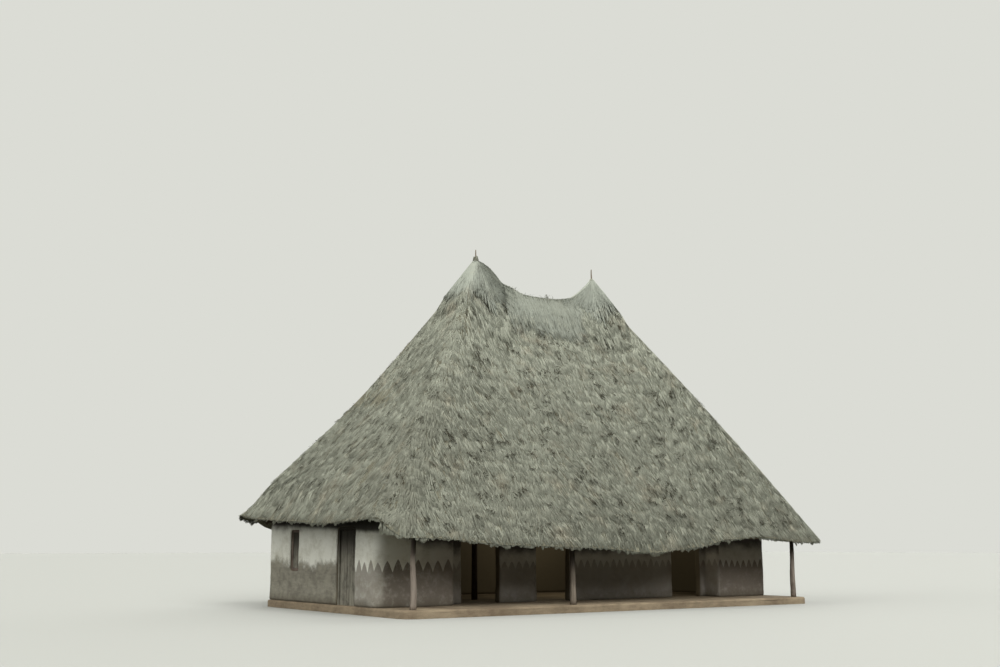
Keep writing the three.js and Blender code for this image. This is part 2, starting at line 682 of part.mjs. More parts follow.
function makeDoorAndWindow() {
  const x0 = -WALL_X + DOOR_SETBACK;
  const x1 = x0 + FRAME_DEEP;
  const [y0, y1] = [END_DOOR.from + TOUCH, END_DOOR.to - TOUCH];
  const top = END_DOOR.top - TOUCH;
  const outer = block(x0, x1, y0, y1, BASE, top);
  const opening = block(x0 - 1, x1 + 1, y0 + FRAME_WIDE, y1 - FRAME_WIDE, BASE - 1, top - FRAME_WIDE);
  addPiece("end_door_frame", cut(outer, [opening]), TIMBER);
  const axisY = DOOR_AXIS[1];
  const leafFrom = y0 + FRAME_WIDE + MOVING_GAP;
  const leafTop = top - FRAME_WIDE - MOVING_GAP;
  const half = LEAF_THICK / 2;
  const leaf = block(DOOR_AXIS[0] - half, DOOR_AXIS[0] + half, leafFrom, axisY, BASE + MOVING_GAP, leafTop);
  const stileAt = [[0, BASE], [PIVOT_R, BASE], [PIVOT_R, leafTop], [0, leafTop]];
  const stile = post(DOOR_AXIS[0], axisY, stileAt, LOG_SIDES);
  addPiece("end_door", join([leaf, stile]), TIMBER);

  const [w0, w1] = [WINDOW.from + TOUCH, WINDOW.to - TOUCH];
  const [z0, z1] = [WINDOW.bottom + TOUCH, WINDOW.top - TOUCH];
  const hole = block(
    x0 - 1, x1 + 1, w0 + FRAME_WIDE, w1 - FRAME_WIDE, z0 + FRAME_WIDE, z1 - FRAME_WIDE,
  );
  addPiece("window_frame", cut(block(x0, x1, w0, w1, z0, z1), [hole]), TIMBER);
  const shy = FRAME_WIDE + TOUCH;
  const shutterX = x0 + half;
  addPiece(
    "window_shutter",
    block(shutterX, shutterX + LEAF_THICK, w0 + shy, w1 - shy, z0 + shy, z1 - shy),
    TIMBER,
  );
}

function lintelOf(doorway, spare) {
  return grown(
    doorway.from - LINTEL_BEARING, doorway.to + LINTEL_BEARING,
    PORCH_Y + TOUCH, PORCH_Y + WALL_THICK - TOUCH,
    DOORWAY_TOP, DOORWAY_TOP + LINTEL_HIGH, spare,
  );
}

function makePorchWall() {
  const lintelHoles = DOORWAYS.map((doorway) => lintelOf(doorway, TOUCH * 2));
  const starts = [LEFT_ROOM_X - WALL_THICK, ...DOORWAYS.map((doorway) => doorway.to)];
  const stops = [...DOORWAYS.map((doorway) => doorway.from), RIGHT_ROOM_X + WALL_THICK];
  const names = ["left", "middle", "right", "far_right"];
  names.forEach((name, i) => {
    const wall = block(starts[i], stops[i], PORCH_Y, PORCH_Y + WALL_THICK, BASE, FRONT_WALL_TOP);
    addPiece(`porch_wall_${name}`, cut(wall, lintelHoles), WHITEWASH);
  });
  for (const doorway of DOORWAYS) {
    addPiece(`${doorway.name}_lintel`, lintelOf(doorway, 0), TIMBER);
    const over = block(
      doorway.from + TOUCH, doorway.to - TOUCH,
      PORCH_Y, PORCH_Y + WALL_THICK,
      DOORWAY_TOP + LINTEL_HIGH + TOUCH, FRONT_WALL_TOP,
    );
    addPiece(`wall_over_${doorway.name}_doorway`, over, WHITEWASH);
  }
}

function makeWalls() {
  makeEndWall();
  makeDoorAndWindow();
  makePorchWall();
  addPiece("left_room_wall", upright(roomWall(-1, LEFT_ROOM_X), BASE, FRONT_WALL_TOP), WHITEWASH);
  addPiece("right_room_wall", upright(roomWall(1, RIGHT_ROOM_X), BASE, FRONT_WALL_TOP), WHITEWASH);
  const right = upright(endWithCorner(1, BACK_INNER - TOUCH, -1, WALL_FRONT), BASE, RIGHT_WALL_TOP);
  addPiece("right_wall", cut(right, [roofMass(endColumns(1))]), WHITEWASH);
  const back = planShape([
    [-WALL_X, BACK_INNER],
    [-WALL_X, WALL_BACK - BACK_CORNER_R],
    { corner: [-WALL_X, WALL_BACK], round: [-WALL_X + BACK_CORNER_R, WALL_BACK] },
    [WALL_X - BACK_CORNER_R, WALL_BACK],
    { corner: [WALL_X, WALL_BACK], round: [WALL_X, WALL_BACK - BACK_CORNER_R] },
    [WALL_X, BACK_INNER],
  ]);
  const roof = [endColumns(-1), longColumns(1), endColumns(1)].map(roofMass);
  addPiece("back_wall", cut(upright(back, BASE, BACK_WALL_TOP), roof), WHITEWASH);
}

function makeFloor() {
  const [x, y0, y1] = [WALL_X + FLOOR_LEDGE, FLOOR_FRONT, WALL_BACK + FLOOR_LEDGE];
  const plan = planShape([
    [-x + FLOOR_R, y0],
    [x - FLOOR_R, y0],
    { corner: [x, y0], round: [x, y0 + FLOOR_R] },
    [x, y1 - FLOOR_R],
    { corner: [x, y1], round: [x - FLOOR_R, y1] },
    [-x + FLOOR_R, y1],
    { corner: [-x, y1], round: [-x, y1 - FLOOR_R] },
    [-x, y0 + FLOOR_R],
    { corner: [-x, y0], round: [-x + FLOOR_R, y0] },
  ]);
  addPiece("earth_floor", upright(plan, 0, FLOOR_Z), EARTH);
}

// Logs that lie on the walls
function makePlates() {
  const endPlate = (end, z) => {
    const from = new THREE.Vector3(end * END_PLATE_X, -END_PLATE_REACH, z);
    const to = new THREE.Vector3(end * END_PLATE_X, END_PLATE_REACH, z);
    return pole(from, to, PLATE_R, LOG_SIDES);
  };
  addPiece("left_wall_plate", endPlate(-1, LEFT_PLATE_Z), TIMBER);
  addPiece("right_wall_plate", endPlate(1, RIGHT_PLATE_Z), TIMBER);
  const backPlate = along(-BACK_PLATE_REACH, BACK_PLATE_REACH, BACK_PLATE_Y, BACK_PLATE_Z, PLATE_R);
  addPiece("back_wall_plate", backPlate, TIMBER);
  const frontZ = FRONT_WALL_TOP + PLATE_R + TOUCH;
  const reach = WALL_X - WALL_THICK - 1;
  addPiece("porch_wall_plate", along(-reach, reach, PORCH_Y + WALL_THICK / 2, frontZ, PLATE_R), TIMBER);
}

makeFloor();
makeWalls();
makePlates();
makePoles();
makeThatch();

export default house;
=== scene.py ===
"""A long thatched house: mud walls with a lime wash, a shallow porch and one steep hipped roof of grass.

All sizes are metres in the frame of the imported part: +X runs along the house, the porch faces -Y, +Z is up.
"""

import json
import logging
import math
from dataclasses import dataclass, field
from enum import Enum
from functools import cache

import bmesh
import bpy
import numpy as np
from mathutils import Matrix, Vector, noise

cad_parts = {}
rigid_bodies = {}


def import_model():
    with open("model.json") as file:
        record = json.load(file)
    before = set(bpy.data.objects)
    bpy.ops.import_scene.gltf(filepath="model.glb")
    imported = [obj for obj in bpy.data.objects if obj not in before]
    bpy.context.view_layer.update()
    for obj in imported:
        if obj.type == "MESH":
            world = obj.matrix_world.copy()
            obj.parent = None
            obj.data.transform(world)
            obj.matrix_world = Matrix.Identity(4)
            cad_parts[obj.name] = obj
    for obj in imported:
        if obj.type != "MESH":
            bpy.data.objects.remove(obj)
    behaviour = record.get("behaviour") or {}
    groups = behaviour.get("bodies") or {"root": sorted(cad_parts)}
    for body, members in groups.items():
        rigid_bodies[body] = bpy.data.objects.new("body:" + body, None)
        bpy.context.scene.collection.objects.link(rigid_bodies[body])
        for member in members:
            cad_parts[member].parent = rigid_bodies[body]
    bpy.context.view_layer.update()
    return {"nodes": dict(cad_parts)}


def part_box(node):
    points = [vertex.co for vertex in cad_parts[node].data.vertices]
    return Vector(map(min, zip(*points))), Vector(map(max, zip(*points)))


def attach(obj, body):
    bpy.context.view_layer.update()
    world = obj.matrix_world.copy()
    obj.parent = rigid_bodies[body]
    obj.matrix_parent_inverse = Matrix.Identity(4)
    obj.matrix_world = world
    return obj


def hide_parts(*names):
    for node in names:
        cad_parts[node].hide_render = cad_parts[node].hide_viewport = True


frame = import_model()
LOG = logging.getLogger("thatched_house")

HOUSE = "house"
DOOR = "door"
UV_NAME = "lay"
NOISE_SEED = 5
SPECULAR = 0.25
QUARTER = math.pi / 2
TURN = 2 * math.pi
Array = np.ndarray
Colour = tuple[float, float, float]
Material = bpy.types.Material
Piece = bpy.types.Object
Socket = bpy.types.NodeSocket


def linear(red: int, green: int, blue: int) -> Colour:
    """Turns a screen colour, each part from 0 to 255, into scene-linear values."""
    return tuple(((c / 255 + 0.055) / 1.055) ** 2.4 for c in (red, green, blue))


def share_of(value: Array, start: float | Array, stop: float | Array) -> Array:
    """Gives how far values have come from a start to a stop, kept from 0 to 1."""
    return np.clip((value - start) / (stop - start), 0, 1)


def ease(value: Array, start: float | Array, stop: float | Array) -> Array:
    """Eases from 0 to 1 between a start and a stop."""
    share = share_of(value, start, stop)
    return share * share * (3 - 2 * share)


def rows(*parts: object) -> Array:
    """Puts coordinates together into points, along a new last axis."""
    return np.stack(np.broadcast_arrays(*parts), axis=-1)


def unit(vectors: Array) -> Array:
    """Brings vectors to a length of 1."""
    return vectors / np.linalg.norm(vectors, axis=-1, keepdims=True)


def drift(across: Array, along: object, seed: float) -> Array:
    """Gives values from -1 to 1 that change smoothly with place."""
    return np.array([noise.noise(Vector((a, b, seed))) for a, b in np.broadcast(across, along)])


class Axis(Enum):
    """The direction in which a timber's grain runs."""

    X = 0
    Y = 1
    Z = 2


class Face(Enum):
    """The four faces of the roof, with the way each looks in plan."""

    FRONT = (0, -1)
    BACK = (0, 1)
    LEFT = (-1, 0)
    RIGHT = (1, 0)

    @property
    def is_long(self) -> bool:
        """True for the two long faces."""
        return self.value[0] == 0

    @property
    def way(self) -> int:
        """-1 for the faces that look along -X or -Y and 1 for the others."""
        return sum(self.value)


class Canvas:
    """Adds shader nodes to one tree and links them."""

    def __init__(self, tree: bpy.types.NodeTree) -> None:
        """Starts on a tree."""
        self.tree = tree

    def node(self, kind: str, **settings: object) -> bpy.types.Node:
        """Adds a node.

        Args:
            kind: Blender's name of the node type, without its ShaderNode prefix.
            settings: Properties to set on it.

        Returns:
            The node.
        """
        made = self.tree.nodes.new(kind if kind.startswith("Node") else "ShaderNode" + kind)
        for name, value in settings.items():
            setattr(made, name, value)
        return made

    def feed(self, socket: Socket, value: object) -> None:
        """Links a socket to another, or sets its value.

        Args:
            socket: The input.
            value: An output socket, a number, or a tuple of numbers.
        """
        if isinstance(value, Socket):
            self.tree.links.new(value, socket)
        elif isinstance(value, tuple) and len(value) == 3 and socket.type == "RGBA":
            socket.default_value = (*value, 1.0)
        else:
            socket.default_value = value

    def math(self, operation: str, *values: object, clamp: bool = False) -> Socket:
        """Takes values together from first to last, with a Math node for each step.

        Args:
            operation: The Math node's operation.
            values: Values or sockets.
            clamp: Whether the result is kept from 0 to 1.

        Returns:
            The result's socket.
        """
        total, *others = values
        for other in others or (0.0,):
            made = self.node("Math", operation=operation)
            self.feed(made.inputs[0], total)
            self.feed(made.inputs[1], other)
            total = made.outputs[0]
        made.use_clamp = clamp
        return total

    def add(self, *values: object, clamp: bool = False) -> Socket:
        """Adds values up."""
        return self.math("ADD", *values, clamp=clamp)

    def less(self, a: object, b: object) -> Socket:
        """Takes the second value from the first."""
        return self.math("SUBTRACT", a, b)

    def times(self, *values: object) -> Socket:
        """Multiplies values."""
        return self.math("MULTIPLY", *values)

    def blend(self, *parts: tuple[object, object]) -> Socket:
        """Adds values up, each times its own weight."""
        return self.add(*(self.times(value, weight) for value, weight in parts))

    def swing(self, value: object, share: float) -> Socket:
        """Gives how far a noise strays from its middle of 0.5, times a share."""
        return self.times(self.less(value, 0.5), share)

    def mix(self, share: object, low: object, high: object) -> Socket:
        """Mixes two colours.

        Args:
            share: How much of the second, from 0 to 1.
            low: The first colour.
            high: The second colour.

        Returns:
            The colour's socket.
        """
        made = self.node("Mix", data_type="RGBA")
        for socket, given in zip((made.inputs[0], made.inputs[6], made.inputs[7]), (share, low, high)):
            self.feed(socket, given)
        return made.outputs[2]

    def ramp(self, value: object, start: object, stop: object, low: float = 0.0, high: float = 1.0) -> Socket:
        """Maps a value smoothly from one range to another.

        Args:
            value: The value's socket.
            start: Where the range starts.
            stop: Where it ends.
            low: The result at the start.
            high: The result at the end.

        Returns:
            The result's socket.
        """
        made = self.node("MapRange", interpolation_type="SMOOTHSTEP")
        for socket, given in zip(made.inputs, (value, start, stop, low, high)):
            self.feed(socket, given)
        return made.outputs[0]

    def noise(
        self, vector: object, scale: float, detail: float, rough: float, stretch: Colour | None = None
    ) -> Socket:
        """Gives soft noise.

        Args:
            vector: The vector's socket.
            scale: Waves in a metre.
            detail: How many finer layers it has.
            rough: How strong the finer layers are.
            stretch: Three factors for the vector, or None.

        Returns:
            The value's socket, around 0.5.
        """
        if stretch:
            mapping = self.node("Mapping")
            self.feed(mapping.inputs["Vector"], vector)
            mapping.inputs["Scale"].default_value = stretch
            vector = mapping.outputs[0]
        made = self.node("TexNoise")
        for name, value in (("Vector", vector), ("Scale", scale), ("Detail", detail), ("Roughness", rough)):
            self.feed(made.inputs[name], value)
        return made.outputs[0]

    def split(self, vector: object) -> list[Socket]:
        """Gives the three parts of a vector."""
        made = self.node("SeparateXYZ")
        self.feed(made.inputs[0], vector)
        return list(made.outputs)


class Effect:
    """A shader node group: one effect that several finishes share."""

    def __init__(self, name: str, inputs: dict[str, object], outputs: tuple[str, ...]) -> None:
        """Opens a new group.

        Args:
            name: The group's name.
            inputs: Each input with its starting value: a number, or None for a vector.
            outputs: The names of the values that it gives.
        """
        self.tree = bpy.data.node_groups.new(name, "ShaderNodeTree")
        for label, start in inputs.items():
            kind = "NodeSocketVector" if start is None else "NodeSocketFloat"
            socket = self.tree.interface.new_socket(label, in_out="INPUT", socket_type=kind)
            if start is not None:
                socket.default_value = start
        for label in outputs:
            self.tree.interface.new_socket(label, in_out="OUTPUT", socket_type="NodeSocketFloat")
        self.canvas = Canvas(self.tree)
        self.given = self.canvas.node("NodeGroupInput").outputs
        self.result = self.canvas.node("NodeGroupOutput").inputs

    def give(self, **values: Socket) -> "Effect":
        """Links the group's outputs and returns the effect."""
        for name, value in values.items():
            self.canvas.feed(self.result[name], value)
        return self

    def place(self, canvas: Canvas, **values: object) -> bpy.types.bpy_prop_collection:
        """Puts the group into a material.

        Args:
            canvas: The material's canvas.
            values: A value or socket for each input.

        Returns:
            The group's outputs.
        """
        made = canvas.node("Group", node_tree=self.tree)
        for name, value in values.items():
            canvas.feed(made.inputs[name], value)
        return made.outputs


def clay_effect() -> Effect:
    """Builds the lumps, the grit and the smears of hand-laid mud.

    Returns:
        The effect, which gives a Height and a Tone around 0.5.
    """
    effect = Effect("hand_laid_mud", {"Vector": None, "Lumps": 1.0}, ("Height", "Tone"))
    c, place = effect.canvas, effect.given["Vector"]
    lumps = c.noise(place, 5.0, 3.0, 0.55)
    grit = c.noise(place, 60.0, 4.0, 0.65)
    smear = c.noise(place, 1.6, 3.0, 0.6, stretch=(3.0, 3.0, 9.0))
    height = c.blend((lumps, effect.given["Lumps"]), (grit, 0.25), (smear, 0.4))
    return effect.give(Height=height, Tone=c.blend((smear, 0.6), (grit, 0.4)))


def grain_effect() -> Effect:
    """Builds the long grain and drying cracks of weathered wood, along V of the piece's own map.

    Returns:
        The effect, which gives a Height, a Tone around 0.5 and a mask of Cracks.
    """
    effect = Effect("weathered_grain", {"Vector": None}, ("Height", "Tone", "Cracks"))
    c, lay = effect.canvas, effect.given["Vector"]
    fine = c.noise(lay, 1.0, 3.0, 0.6, stretch=(160.0, 5.0, 1.0))
    broad = c.noise(lay, 1.0, 3.0, 0.5, stretch=(28.0, 1.1, 1.0))
    cracks = c.ramp(c.noise(lay, 1.0, 2.0, 0.4, stretch=(55.0, 1.6, 1.0)), 0.36, 0.30)
    tone = c.blend((fine, 0.45), (broad, 0.55))
    return effect.give(Tone=tone, Cracks=cracks, Height=c.less(tone, cracks))


def tooth_effect(
    bulge: float = 1.42,
    tip: tuple[float, float] = (0.46, 0.08),
    tall: tuple[float, float] = (0.82, 0.3),
    stray: float = 0.05,
) -> Effect:
    """Builds the hand-painted row of pointed teeth over a band.

    Args:
        bulge: Power of their outline, 1 for straight sides.
        tip: The leftmost place of a tip, as a share of the pitch, and how much further it may be.
        tall: The lowest tooth's share of the rise, and how much more it may be.
        stray: How far the brush strays up and down.

    Returns:
        The effect: a Paint mask from where a point lies along the wall and how high.
    """
    inputs = {"Along": 0.0, "Height": 0.0, "Pitch": 0.275, "Foot": 0.95, "Rise": 0.26}
    effect = Effect("painted_teeth", inputs, ("Paint",))
    c, given = effect.canvas, effect.given
    spot = c.node("CombineXYZ")
    c.feed(spot.inputs[0], given["Along"])
    c.feed(spot.inputs[1], given["Height"])
    wobble = c.noise(spot.outputs[0], 6.0, 2.0, 0.5)
    steps = c.math("DIVIDE", given["Along"], given["Pitch"])
    chance = c.node("TexWhiteNoise", noise_dimensions="1D")
    c.feed(chance.inputs["W"], c.math("FLOOR", steps))
    own = chance.outputs["Value"]
    across = c.math("ABSOLUTE", c.less(c.math("FRACT", steps), c.add(tip[0], c.times(own, tip[1]))))
    point = c.less(1.0, c.math("POWER", c.times(across, 2.0), bulge))
    rise = c.times(given["Rise"], c.add(tall[0], c.times(own, tall[1])))
    top = c.add(given["Foot"], c.times(rise, c.math("MAXIMUM", point, 0.0)))
    edge = c.add(top, c.swing(wobble, stray))
    return effect.give(Paint=c.ramp(c.less(edge, given["Height"]), -0.008, 0.012))


class Finish:
    """A material with one Principled shader."""

    def __init__(self, name: str, roughness: float) -> None:
        """Makes the material.

        Args:
            name: The finish's name.
            roughness: The shader's roughness.
        """
        self.material = bpy.data.materials.new(name)
        self.material.use_nodes = True
        self.canvas = Canvas(self.material.node_tree)
        self.shader = self.material.node_tree.nodes["Principled BSDF"]
        self.shader.inputs["Roughness"].default_value = roughness
        self.shader.inputs["Specular IOR Level"].default_value = SPECULAR

    def place(self) -> Socket:
        """Gives the point in the piece's own coordinates."""
        return self.canvas.node("TexCoord").outputs["Object"]

    def lay(self) -> Socket:
        """Gives the piece's own map, U across and V along."""
        return self.canvas.node("UVMap", uv_map=UV_NAME).outputs[0]

    def colour(self, value: object) -> None:
        """Feeds the base colour."""
        self.canvas.feed(self.shader.inputs["Base Color"], value)

    def bump(self, height: object, strength: float, depth: float) -> None:
        """Feeds a height through a Bump node to the normal.

        Args:
            height: The height's socket.
            strength: How strong the bump is.
            depth: How far it reaches, in metres.
        """
        made = self.canvas.node("Bump")
        for name, value in (("Strength", strength), ("Distance", depth), ("Height", height)):
            self.canvas.feed(made.inputs[name], value)
        self.canvas.feed(self.shader.inputs["Normal"], made.outputs[0])


@dataclass(frozen=True)
class StrawFinish:
    """Grass, darker at its root than at its cut end and more bleached high up.

    Warm is the colour of the few newer stalks, fresh is how much of it a newer patch has, and bleach is how
    much paler the grass is at the ridge than at the eave.
    """

    name: str
    dark: Colour
    pale: Colour
    warm: Colour
    bleach: float
    fresh: float = 0.6

    def make(self) -> Material:
        """Builds the material from the piece's map: U is the stalk's own tone and V runs from root to end."""
        finish = Finish(self.name, 0.9)
        c, place = finish.canvas, finish.place()
        tone, along, _ = c.split(finish.lay())
        broad = c.noise(place, 0.6, 4.0, 0.65)
        patches = c.noise(place, 3.2, 3.0, 0.6)
        bleached = c.ramp(c.split(place)[2], 1.6, 8.2, 0.0, self.bleach)
        swings = (c.swing(along, 0.06), c.swing(broad, 0.36), c.swing(patches, 0.28))
        value = c.add(tone, *swings, bleached, clamp=True)
        newer = c.ramp(c.noise(place, 1.3, 4.0, 0.6), 0.52, 0.75, 0.0, self.fresh)
        finish.colour(c.mix(newer, c.mix(value, self.dark, self.pale), self.warm))
        return finish.material


@dataclass(frozen=True)
class BedFinish:
    """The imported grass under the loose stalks, also seen from inside the roof."""

    name: str
    dark: Colour
    pale: Colour

    def make(self) -> Material:
        """Builds the material.

        Returns:
            The material.
        """
        finish = Finish(self.name, 0.95)
        c, place = finish.canvas, finish.place()
        stalks = c.noise(place, 1.0, 4.0, 0.7, stretch=(60.0, 60.0, 5.0))
        value = c.blend((stalks, 0.75), (c.noise(place, 2.2, 3.0, 0.6), 0.35))
        finish.colour(c.mix(c.ramp(value, 0.35, 0.8), self.dark, self.pale))
        finish.bump(stalks, 0.9, 0.03)
        return finish.material


@dataclass(frozen=True)
class WoodFinish:
    """Weathered wood, dark in its cracks and old stains and pale where it is silvered.

    The soot_and_shade values say how strongly the upper parts are darkened, and the heights where that starts
    and is full: painted shade of the eaves, with some sooty staining. Crack and stain say how dark those are.
    All strengths run from 0 to 1.
    """

    name: str
    dark: Colour
    body: Colour
    pale: Colour
    soot_and_shade: float = 0.0
    soot_and_shade_from: float = 1.0
    soot_and_shade_to: float = 2.0
    crack: float = 0.8
    stain: float = 0.6

    def make(self, grain: Effect) -> Material:
        """Builds the material.

        Args:
            grain: The grain effect.

        Returns:
            The material.
        """
        finish = Finish(self.name, 0.8)
        c, place = finish.canvas, finish.place()
        out = grain.place(c, Vector=finish.lay())
        colour = c.mix(c.ramp(out["Tone"], 0.3, 0.7), self.body, self.pale)
        stains = c.ramp(c.noise(place, 3.0, 3.0, 0.6), 0.45, 0.75, 0.0, self.stain)
        # Painted shade of the eaves, with some sooty staining: the upper part of the wood is darker.
        high = c.ramp(c.split(place)[2], self.soot_and_shade_from, self.soot_and_shade_to, 0.0, self.soot_and_shade)
        for share in (c.times(out["Cracks"], self.crack), stains, high):
            colour = c.mix(share, colour, self.dark)
        finish.colour(colour)
        finish.bump(out["Height"], 0.7, 0.006)
        return finish.material


@dataclass(frozen=True)
class WallSpot:
    """What the parts of the lime wash know of a point on a wall.

    It has its place, the tone of the mud, broad noise, finer noise, 1 where the porch wall lies back
    between the rooms, and the colour of the wash.
    """

    x: Socket
    y: Socket
    z: Socket
    tone: Socket
    patchy: Socket
    ragged: Socket
    inner: Socket
    washed: Socket


@dataclass(frozen=True)
class WashFinish:
    """Lime wash over mud, with the painted teeth on the porch side and bare mud at the foot elsewhere.

    The colours come first. The grime_and_shade colour darkens the wash of the porch side, growing from the
    end wall's corner to the recess: partly dirt and partly painted shade of the porch roof. The eave_shadow
    colour is painted shadow, the dark line right under the eave of the end wall, and the inside colour is
    bare mud on the inner faces and painted shade in the doorways' reveals. The mud_top value is how high the
    bare mud reaches on the plain walls. The shade values give that painted dark line of the end wall: the
    height where it starts at Y -1.4, how much it climbs in a metre towards the back, and the height over
    which it comes in. Walls beyond front_y have the teeth, and those this side of faded_x are faded: the pair
    is the paint's strength there and on the porch side. In the recess the porch wall lies back, and its teeth
    are smaller. Splash is the strength of the stains by the ground, smoke_and_shade the heights where the
    dark band under the eaves starts and is full, partly sooty staining and partly painted shade, and
    low_porch_shade how much lower that band reaches under the porch, which is painted shade. The last three
    are the outer faces of the porch wall, the end walls and the back wall.
    """

    wash: Colour = linear(230, 230, 217)
    thin: Colour = linear(196, 194, 176)
    mud: Colour = linear(142, 138, 122)
    deep_mud: Colour = linear(98, 92, 78)
    paint: Colour = linear(117, 108, 97)
    grime_and_shade: Colour = linear(116, 102, 103)
    soot_and_shade: Colour = linear(57, 51, 47)
    eave_shadow: Colour = linear(34, 30, 24)
    inside: Colour = linear(112, 103, 84)
    mud_top: float = 1.16
    shade_from: float = 1.92
    shade_slope: float = 0.045
    shade_high: float = 0.12
    front_y: float = -1.44
    faded_x: float = -6.35
    faded: tuple[float, float] = (0.74, 0.92)
    recess: tuple[float, float] = (-4.38, 4.57)
    splash: float = 0.75
    smoke_and_shade: tuple[float, float] = (2.02, 2.36)
    low_porch_shade: float = 0.48
    porch_y: float = -1.88
    end_x: float = 6.5
    back_y: float = 3.35

    def plain(self, c: Canvas, spot: WallSpot) -> Socket:
        """Gives the colour of a wall whose foot is bare mud.

        Args:
            c: The material's canvas.
            spot: The point.

        Returns:
            The colour's socket.
        """
        stained = c.blend((spot.tone, 0.45), (spot.patchy, 0.55))
        mud = c.mix(c.ramp(stained, 0.38, 0.62), self.deep_mud, self.mud)
        foot = c.add(self.mud_top, c.swing(spot.ragged, 0.24), c.swing(spot.patchy, 0.7))
        bare = c.ramp(c.less(foot, spot.z), -0.14, 0.12)
        return c.mix(c.times(bare, 0.9), spot.washed, mud)

    def painted(self, c: Canvas, spot: WallSpot, teeth: Effect) -> Socket:
        """Gives the colour of a wall of the porch side, with its band and teeth.

        Args:
            c: The material's canvas.
            spot: The point.
            teeth: The painted teeth.

        Returns:
            The colour's socket.
        """
        along = c.less(spot.x, spot.y)
        pitch, rise = (c.ramp(spot.x, 0.0, 0.1, *sizes) for sizes in ((0.275, 0.232), (0.27, 0.225)))
        rooms = teeth.place(c, Along=along, Height=spot.z, Pitch=pitch, Foot=0.98, Rise=rise)["Paint"]
        recess = teeth.place(c, Along=along, Height=spot.z, Pitch=0.225, Foot=1.01, Rise=0.22)["Paint"]
        paint = c.blend((rooms, c.less(1.0, spot.inner)), (recess, spot.inner))
        faded = c.ramp(spot.x, self.faded_x, self.faded_x + 0.12, *self.faded)
        rubbed = c.ramp(spot.ragged, 0.75, 0.45, 0.72, 1.0)
        # The teeth are a third fainter in the recess: painted light on the band there.
        scuffed = c.times(faded, rubbed, c.less(1.0, c.times(spot.inner, 0.35)))
        # Painted shade of the porch roof, with some dirt: the wash darkens from the end wall's corner to the
        # recess.
        porch_shade_share = c.ramp(spot.x, self.faded_x, self.recess[0], 0.0, 0.5)
        shaded_wash = c.mix(porch_shade_share, spot.washed, self.grime_and_shade)
        return c.mix(c.times(paint, scuffed), shaded_wash, self.paint)

    def smoked_and_shaded(self, c: Canvas, spot: WallSpot, porch: Socket, colour: Socket) -> Socket:
        """Darkens a colour by the ground with stains, and under the eaves with sooty staining and painted
        shade.

        Args:
            c: The material's canvas.
            spot: The point.
            porch: 1 on the porch side.
            colour: The wall's colour.

        Returns:
            The colour's socket.
        """
        splash = c.times(c.ramp(c.add(spot.z, c.times(spot.ragged, 0.3)), 0.62, 0.3), self.splash)
        colour = c.mix(splash, colour, self.deep_mud)
        # On the porch side the dark band reaches lower, and lower still in the recess: painted shade under
        # the porch roof.
        low = c.ramp(spot.x, self.faded_x, self.faded_x + 1.3, 0.0, self.low_porch_shade)
        low = c.times(porch, c.add(low, c.times(spot.inner, 0.14)))
        high = c.add(spot.z, c.times(spot.patchy, 0.3), low)
        # The band under the eaves: partly sooty staining and partly painted shade.
        colour = c.mix(c.ramp(high, *self.smoke_and_shade, 0.0, 0.9), colour, self.soot_and_shade)
        # Painted shadow: a dark line right under the end wall's eave, climbing with the eave towards the
        # back.
        line = c.add(c.times(c.add(spot.y, 1.4), self.shade_slope), self.shade_from)
        above = c.less(c.add(spot.z, c.times(spot.ragged, 0.08)), line)
        end = c.ramp(spot.x, self.faded_x, self.faded_x - 0.05)
        return c.mix(c.times(end, c.ramp(above, 0.0, self.shade_high, 0.0, 0.9)), colour, self.eave_shadow)

    def make(self, clay: Effect, teeth: Effect) -> Material:
        """Builds the material.

        Args:
            clay: The mud effect.
            teeth: The painted teeth.

        Returns:
            The material.
        """
        finish = Finish("lime_wash", 0.92)
        c, place = finish.canvas, finish.place()
        out = clay.place(c, Vector=place, Lumps=1.0)
        x, y, z = c.split(place)
        inner = c.times(c.math("GREATER_THAN", x, self.recess[0]), c.math("LESS_THAN", x, self.recess[1]))
        patchy, ragged = c.noise(place, 2.4, 4.0, 0.65), c.noise(place, 5.5, 5.0, 0.7)
        worn = c.ramp(c.blend((patchy, 0.7), (out["Tone"], 0.3)), 0.42, 0.72)
        spot = WallSpot(x, y, z, out["Tone"], patchy, ragged, inner, c.mix(worn, self.wash, self.thin))
        porch = c.ramp(y, self.front_y + 0.01, self.front_y - 0.01)
        colour = c.mix(porch, self.plain(c, spot), self.painted(c, spot, teeth))
        colour = self.smoked_and_shaded(c, spot, porch, colour)
        # Faces deeper than the outer faces take the inside colour: bare mud on the inner faces, painted shade
        # in the doorways' reveals.
        pairs = ((y, self.porch_y), (x, -self.end_x), (self.end_x, x), (self.back_y, y))
        depth = c.math("MINIMUM", *(c.less(*pair) for pair in pairs))
        finish.colour(c.mix(c.ramp(depth, 0.015, 0.05), colour, self.inside))
        finish.bump(out["Height"], 0.55, 0.02)
        return finish.material


@dataclass(frozen=True)
class EarthFinish:
    """Beaten earth, pale and dusty where it is worn."""

    pale: Colour = linear(158, 143, 118)
    dark: Colour = linear(108, 94, 76)

    def make(self, clay: Effect) -> Material:
        """Builds the material.

        Args:
            clay: The mud effect.

        Returns:
            The material.
        """
        finish = Finish("beaten_earth", 0.95)
        c, place = finish.canvas, finish.place()
        out = clay.place(c, Vector=place, Lumps=0.6)
        value = c.blend((c.noise(place, 0.9, 4.0, 0.6), 0.6), (out["Tone"], 0.5))
        finish.colour(c.mix(c.ramp(value, 0.35, 0.75), self.dark, self.pale))
        finish.bump(out["Height"], 0.6, 0.015)
        return finish.material


